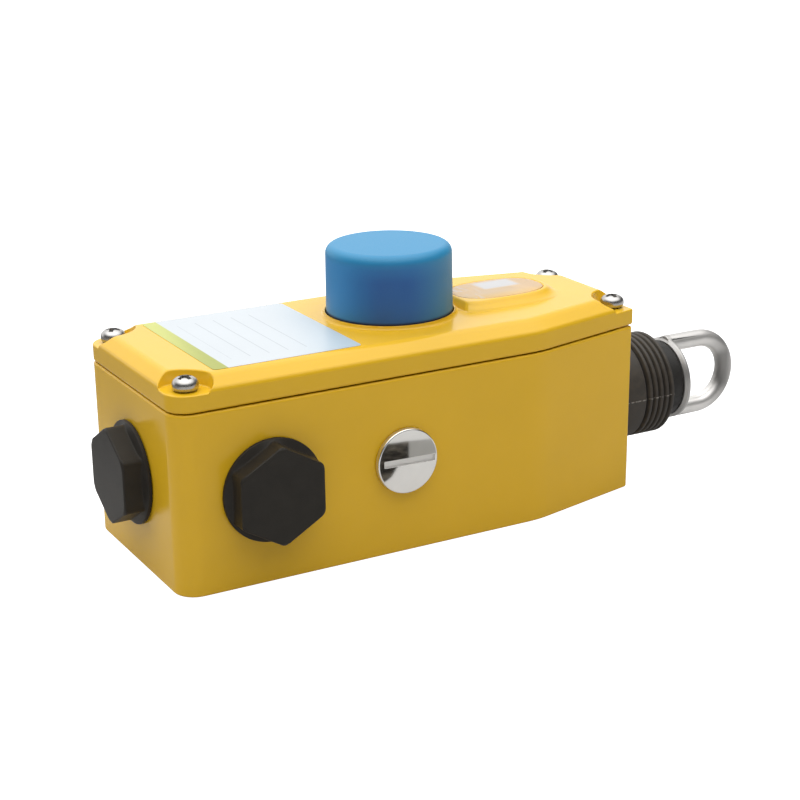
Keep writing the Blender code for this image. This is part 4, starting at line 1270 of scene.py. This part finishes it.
class SWITCH_OT_window(bpy.types.Operator):
    """Make the clear oval lens of the tension window"""

    bl_idname = "rope_switch.window"
    bl_label = "Window lens"

    EDGE_STEPS = 8
    EDGE_DROP = 0.4 * MM
    EDGE_ROUND = 0.25 * MM
    EDGE_IN = 0.035

    def execute(self, context):
        long = LENS_HIGH.x - LENS_LOW.x
        wide = LENS_HIGH.y - LENS_LOW.y
        edge = LENS_HIGH.z - self.EDGE_DROP
        sections = [(0, LENS_LOW.z), (1.0, LENS_LOW.z), (1.0, edge)]
        for k in range(1, self.EDGE_STEPS + 1):
            angle = math.radians(90 * k / self.EDGE_STEPS)
            share = 1 - self.EDGE_IN * (1 - math.cos(angle))
            sections.append((share, edge + self.EDGE_ROUND * math.sin(angle)))
        sections += [(0.6, edge + 0.35 * MM), (0.3, edge + 0.39 * MM), (0, LENS_HIGH.z)]
        rings = []
        for share, height in sections:
            if share:
                outline = oval(long * share, wide * share, WINDOW_X, LENS_POWER)
                rings.append([(x, y, height) for x, y in outline])
            else:
                rings.append([(WINDOW_X, 0, height)])
        piece("clear_lens", skin(rings), "window_plastic", "housing", ["window_lens"])
        return {"FINISHED"}


# Rope end

HUB = 8 * MM
SHAFT = 5 * MM


class SWITCH_OT_boot(bpy.types.Operator):
    """Make the ribbed rubber boot between the housing's neck and the eye"""

    bl_idname = "rope_switch.boot"
    bl_label = "Rubber boot"

    RIBS = 5
    CREST = (0.34, 0.84)
    FLASH = 0.2 * MM
    STEPS = 160

    def execute(self, context):
        rope = context.scene.switch_rope_end
        start, tip = BOOT_LOW.x, BOOT_HIGH.x
        last = rope.rib_start + self.RIBS * rope.rib_pitch
        deep = rope.boot - rope.rib_depth
        outer = [
            (rope.boot_tip - 0.4 * MM, tip, 0.5 * MM),
            (rope.boot_tip - 0.2 * MM, last + 1.8 * MM, 0.5 * MM),
            (rope.boot_tip + 0.6 * MM, last - 0.1 * MM, 0.3 * MM),
        ]
        for k in reversed(range(self.RIBS)):
            low = rope.rib_start + k * rope.rib_pitch
            for share in reversed(self.CREST):
                outer.append((rope.boot, low + share * rope.rib_pitch, 0.45 * MM))
            outer.append((deep, low, 0.2 * MM))
        outer += [(rope.boot, rope.rib_start - 0.9 * MM, 0.5 * MM), (rope.boot, start, 0.3 * MM)]
        cuff = NECK_RADIUS + GAP
        grip = HUB + GAP
        inner = [(cuff, start, 0), (cuff, last - 1 * MM, 0), (grip, last + 1.6 * MM, 0), (grip, tip, 0)]
        parting = (self.STEPS // 4, 3 * self.STEPS // 4)
        rings = []
        for radius, height in filleted(outer + inner, 4):
            ring = []
            for k in range(self.STEPS):
                angle = math.tau * k / self.STEPS
                r = radius + (self.FLASH if radius > cuff and k in parting else 0.0)
                ring.append((r * math.cos(angle), r * math.sin(angle), height))
            rings.append(ring)
        boot = aimed(skin(rings, closed=True), (0, 0, rope.axis_height), ROPE_WAY)
        obj = piece("ribbed_boot", boot, "rubber", None, ["rope_boot"], even=False)
        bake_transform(obj)
        return {"FINISHED"}


class SWITCH_OT_eye(bpy.types.Operator):
    """Make the steel eye with its flange and hub"""

    bl_idname = "rope_switch.eye"
    bl_label = "Steel eye"

    BEND_STEPS = 48
    BAR_SIDES = 32

    def execute(self, context):
        rope = context.scene.switch_rope_end
        back = BOOT_HIGH.x + GAP
        front = back + rope.flange_thick
        bore = SHAFT + GAP
        corners = [
            (0, front, 0),
            (rope.flange, front, 0.5 * MM),
            (rope.flange, back + 0.9 * MM, 0.25 * MM),
            (rope.flange - 0.8 * MM, back, 0.25 * MM),
            (HUB, back, 0),
            (HUB, EYE_LOW.x, 0.3 * MM),
            (bore, EYE_LOW.x, 0.3 * MM),
            (bore, back, 0),
            (0, back, 0),
        ]
        axis = Vector((0, 0, rope.axis_height))
        flange = lathed(corners, 4, axis, ROPE_WAY)
        centre = EYE_HIGH.x - rope.eye - rope.eye_bar
        leg = back + 0.6 * MM
        path = [Vector((leg, 0, rope.eye)), Vector(((leg + centre) / 2, 0, rope.eye))]
        headings = [ROPE_WAY] * 2
        for k in range(self.BEND_STEPS + 1):
            angle = math.radians(90 - 180 * k / self.BEND_STEPS)
            path.append(Vector((centre + rope.eye * math.cos(angle), 0, rope.eye * math.sin(angle))))
            headings.append(Vector((math.sin(angle), 0, -math.cos(angle))))
        path += [Vector(((leg + centre) / 2, 0, -rope.eye)), Vector((leg, 0, -rope.eye))]
        headings += [-ROPE_WAY] * 2
        side = -FRONT_WAY
        rings = []
        for point, heading in zip(path, headings):
            across = heading.cross(side)
            ring = []
            for k in range(self.BAR_SIDES):
                angle = math.tau * k / self.BAR_SIDES
                spoke = across * math.cos(angle) + side * math.sin(angle)
                ring.append(point + spoke * rope.eye_bar + axis)
            rings.append(ring)
        eye = round_edges(joined(flange, skin(rings)), 0.35 * MM, 3)
        piece("rope_eye_bar", eye, "steel", "rope_shaft", ["rope_eye"])
        return {"FINISHED"}


class SWITCH_OT_springs(bpy.types.Operator):
    """Make the coil springs of the cap and the rope at their rest length"""

    bl_idname = "rope_switch.springs"
    bl_label = "Coil springs"

    STEPS = 24
    SIDES = 12
    # Wire radius, turns, axis, and the bodies that hold the foot and the far end
    COILS = {
        "reset_spring": (0.7 * MM, 5, UP, "housing", "reset_button"),
        "return_spring": (1.1 * MM, 6, ROPE_WAY, "rope_shaft", "housing"),
    }

    def coil(self, radius, wire, length, turns):
        """A wound wire that stands on z = 0."""
        rise = (length - 2 * wire) / (math.tau * turns)
        rings = []
        for k in range(turns * self.STEPS + 1):
            angle = math.tau * k / self.STEPS
            out = Vector((math.cos(angle), math.sin(angle), 0))
            along = UP.cross(out) * radius + UP * rise
            over = along.cross(out).normalized()
            centre = out * radius + UP * (wire + rise * angle)
            sides = [math.tau * i / self.SIDES for i in range(self.SIDES)]
            rings.append([centre + (out * math.cos(a) + over * math.sin(a)) * wire for a in sides])
        return skin(rings)

    def execute(self, context):
        for node, (wire, turns, axis, first, second) in self.COILS.items():
            low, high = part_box(node)
            length = (high - low).dot(axis)
            foot = middle(node) - axis * length / 2
            spring = self.coil((high.y - low.y) / 2 - wire, wire, length, turns)
            aimed(spring, foot, axis)
            obj = piece(f"{node}_coil", spring, "screw_steel", None, [node], even=False)
            tuple(foot + axis * length)
            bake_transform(obj)
        return {"FINISHED"}


class SWITCH_OT_inner_parts(bpy.types.Operator):
    """Give the pieces that keep their CAD shape their finishes"""

    bl_idname = "rope_switch.inner_parts"
    bl_label = "Inner parts"

    def execute(self, context):
        slots = {part["node"]: part["material_slot"] for part in frame["record"]["subparts"]}
        for name, node in frame["nodes"].items():
            node.data.materials.clear()
            node.data.materials.append(finish(slots[name]))
        return {"FINISHED"}


# Stage

CAMERA_PLACE = (-236.7 * MM, -445.4 * MM, 200.4 * MM)
SENSOR_MM = 36
FLOOR_REACH = 6.0
FLOOR_DROP = 0.05 * MM
CARD_RISE = 0.5 * MM
BEHIND = (0.35, 0.8)
OVERHEAD = (0.45, 0.95)
# The card's outline and its straight edge, as the slotted screw's face shows them round its middle
CARD_TOP_MM = [(-11, 6.2), (0.3, 5.6), (10.5, 4.6)]
CARD_FOOT_MM = [(10.5, 0.4), (0.2, -0.4), (-3.4, -1), (-5.5, -4), (-10.5, -6.5)]
CARD_EDGE = [(0.2 * MM, 0), (0.2 * MM, 6 * MM)]


def mirrored(across, above):
    """The point of the floor that the slotted screw's face mirrors to the camera, away from its middle."""
    spot = middle("slot_screw")
    point = Vector((spot.x + across, DISC_LOW.y, spot.z + above))
    way = point - Vector(CAMERA_PLACE)
    way.y = -way.y
    return (point - way * (point.z / way.z)).xy


def add_camera(studio):
    """The camera at the photograph's viewing angle."""
    lens = bpy.data.cameras.new("camera")
    lens.sensor_width = SENSOR_MM
    lens.lens = studio.lens
    lens.clip_start = 0.01
    camera = bpy.data.objects.new("camera", lens)
    turn, lift, roll = (math.radians(a) for a in (studio.azimuth, studio.elevation, studio.roll))
    back = Vector((math.sin(turn) * math.cos(lift), -math.cos(turn) * math.cos(lift), math.sin(lift)))
    right = UP.cross(back).normalized()
    above = back.cross(right)
    level = Matrix((right, above, back)).transposed()
    camera.matrix_world = Matrix.Translation(CAMERA_PLACE) @ (level @ Matrix.Rotation(roll, 3, "Z")).to_4x4()
    bpy.context.scene.collection.objects.link(camera)
    bpy.context.scene.camera = camera


def add_world(studio):
    """A soft light tent: bright overhead and behind the part, dim before it and at its sides."""
    world = bpy.data.worlds.new("studio")
    bpy.context.scene.world = world
    look = Look(world)
    way = look.node("ShaderNodeTexCoord", output=0)
    behind = look.ramp(look.node("ShaderNodeSeparateXYZ", None, {0: way}, 1), *BEHIND)
    overhead = look.ramp(look.node("ShaderNodeSeparateXYZ", None, {0: way}, 2), *OVERHEAD)
    around = studio.front_light + (studio.back_light - studio.front_light) * behind
    strength = around + overhead * (studio.top_light - around)
    look.feed(world.node_tree.nodes["Background"], {"Color": grey(1.0), "Strength": strength})


def stage_sheet(name, outline, height):
    """A flat sheet of the stage, with the finish of the same name."""
    bm = bmesh.new()
    bm.faces.new([bm.verts.new((x, y, height)) for x, y in outline])
    mesh = bpy.data.meshes.new(name)
    bm.to_mesh(mesh)
    bm.free()
    mesh.materials.append(finish(name))
    sheet = bpy.data.objects.new(name, mesh)
    bpy.context.scene.collection.objects.link(sheet)
    return sheet


class SWITCH_OT_stage(bpy.types.Operator):
    """Make the pale floor, the soft light and the camera"""

    bl_idname = "rope_switch.stage"
    bl_label = "Stage"

    def execute(self, context):
        studio = context.scene.switch_studio
        level = CAD_BOX[0].z - FLOOR_DROP
        stage_sheet("floor", [(x, y) for x, y, z in ring_of(FLOOR_REACH, 0, 96)], level)
        outline = [mirrored(x * MM, z * MM) for x, z in CARD_TOP_MM + CARD_FOOT_MM]
        card = stage_sheet("card", outline, level + CARD_RISE)
        for ray in ("camera", "diffuse", "shadow", "transmission"):
            setattr(card, f"visible_{ray}", False)
        add_camera(studio)
        add_world(studio)
        context.scene.view_settings.view_transform = "Standard"
        return {"FINISHED"}


class SWITCH_PT_panel(bpy.types.Panel):
    """Lists the steps that build the switch"""

    bl_idname = "SWITCH_PT_panel"
    bl_label = "Rope-pull switch"
    bl_space_type = "VIEW_3D"
    bl_region_type = "UI"
    bl_category = "Rope switch"

    def draw(self, context):
        for step in STEPS:
            self.layout.operator(step.bl_idname)
        for name, group in SETTINGS.items():
            box = self.layout.box()
            box.label(text=group.__doc__)
            for key in group.__annotations__:
                box.prop(getattr(context.scene, name), key)


STEPS = (
    SWITCH_OT_inner_parts,
    SWITCH_OT_base,
    SWITCH_OT_lid,
    SWITCH_OT_label,
    SWITCH_OT_lid_screws,
    SWITCH_OT_plugs,
    SWITCH_OT_slot_screw,
    SWITCH_OT_reset_cap,
    SWITCH_OT_window,
    SWITCH_OT_boot,
    SWITCH_OT_eye,
    SWITCH_OT_springs,
    SWITCH_OT_stage,
)
SETTINGS = {
    "switch_housing": HousingSizes,
    "switch_fittings": FittingSizes,
    "switch_rope_end": RopeEndSizes,
    "switch_colours": FinishColours,
    "switch_studio": StudioSettings,
}


def register():
    for group in SETTINGS.values():
        bpy.utils.register_class(group)
    for name, group in SETTINGS.items():
        setattr(bpy.types.Scene, name, bpy.props.PointerProperty(type=group))
    for step in (*STEPS, SWITCH_PT_panel):
        bpy.utils.register_class(step)


def unregister():
    for step in (SWITCH_PT_panel, *reversed(STEPS)):
        bpy.utils.unregister_class(step)
    for name, group in SETTINGS.items():
        delattr(bpy.types.Scene, name)
        bpy.utils.unregister_class(group)


def clear_startup():
    """Remove Blender's startup objects, leaving the frame."""
    kept = set(frame["nodes"].values()) | set(frame["bodies"].values())
    for obj in list(bpy.data.objects):
        if obj not in kept:
            bpy.data.objects.remove(obj)


def main():
    register()
    clear_startup()
    for step in STEPS:
        group, name = step.bl_idname.split(".")
        getattr(getattr(bpy.ops, group), name)()


if __name__ == "__main__":
    main()
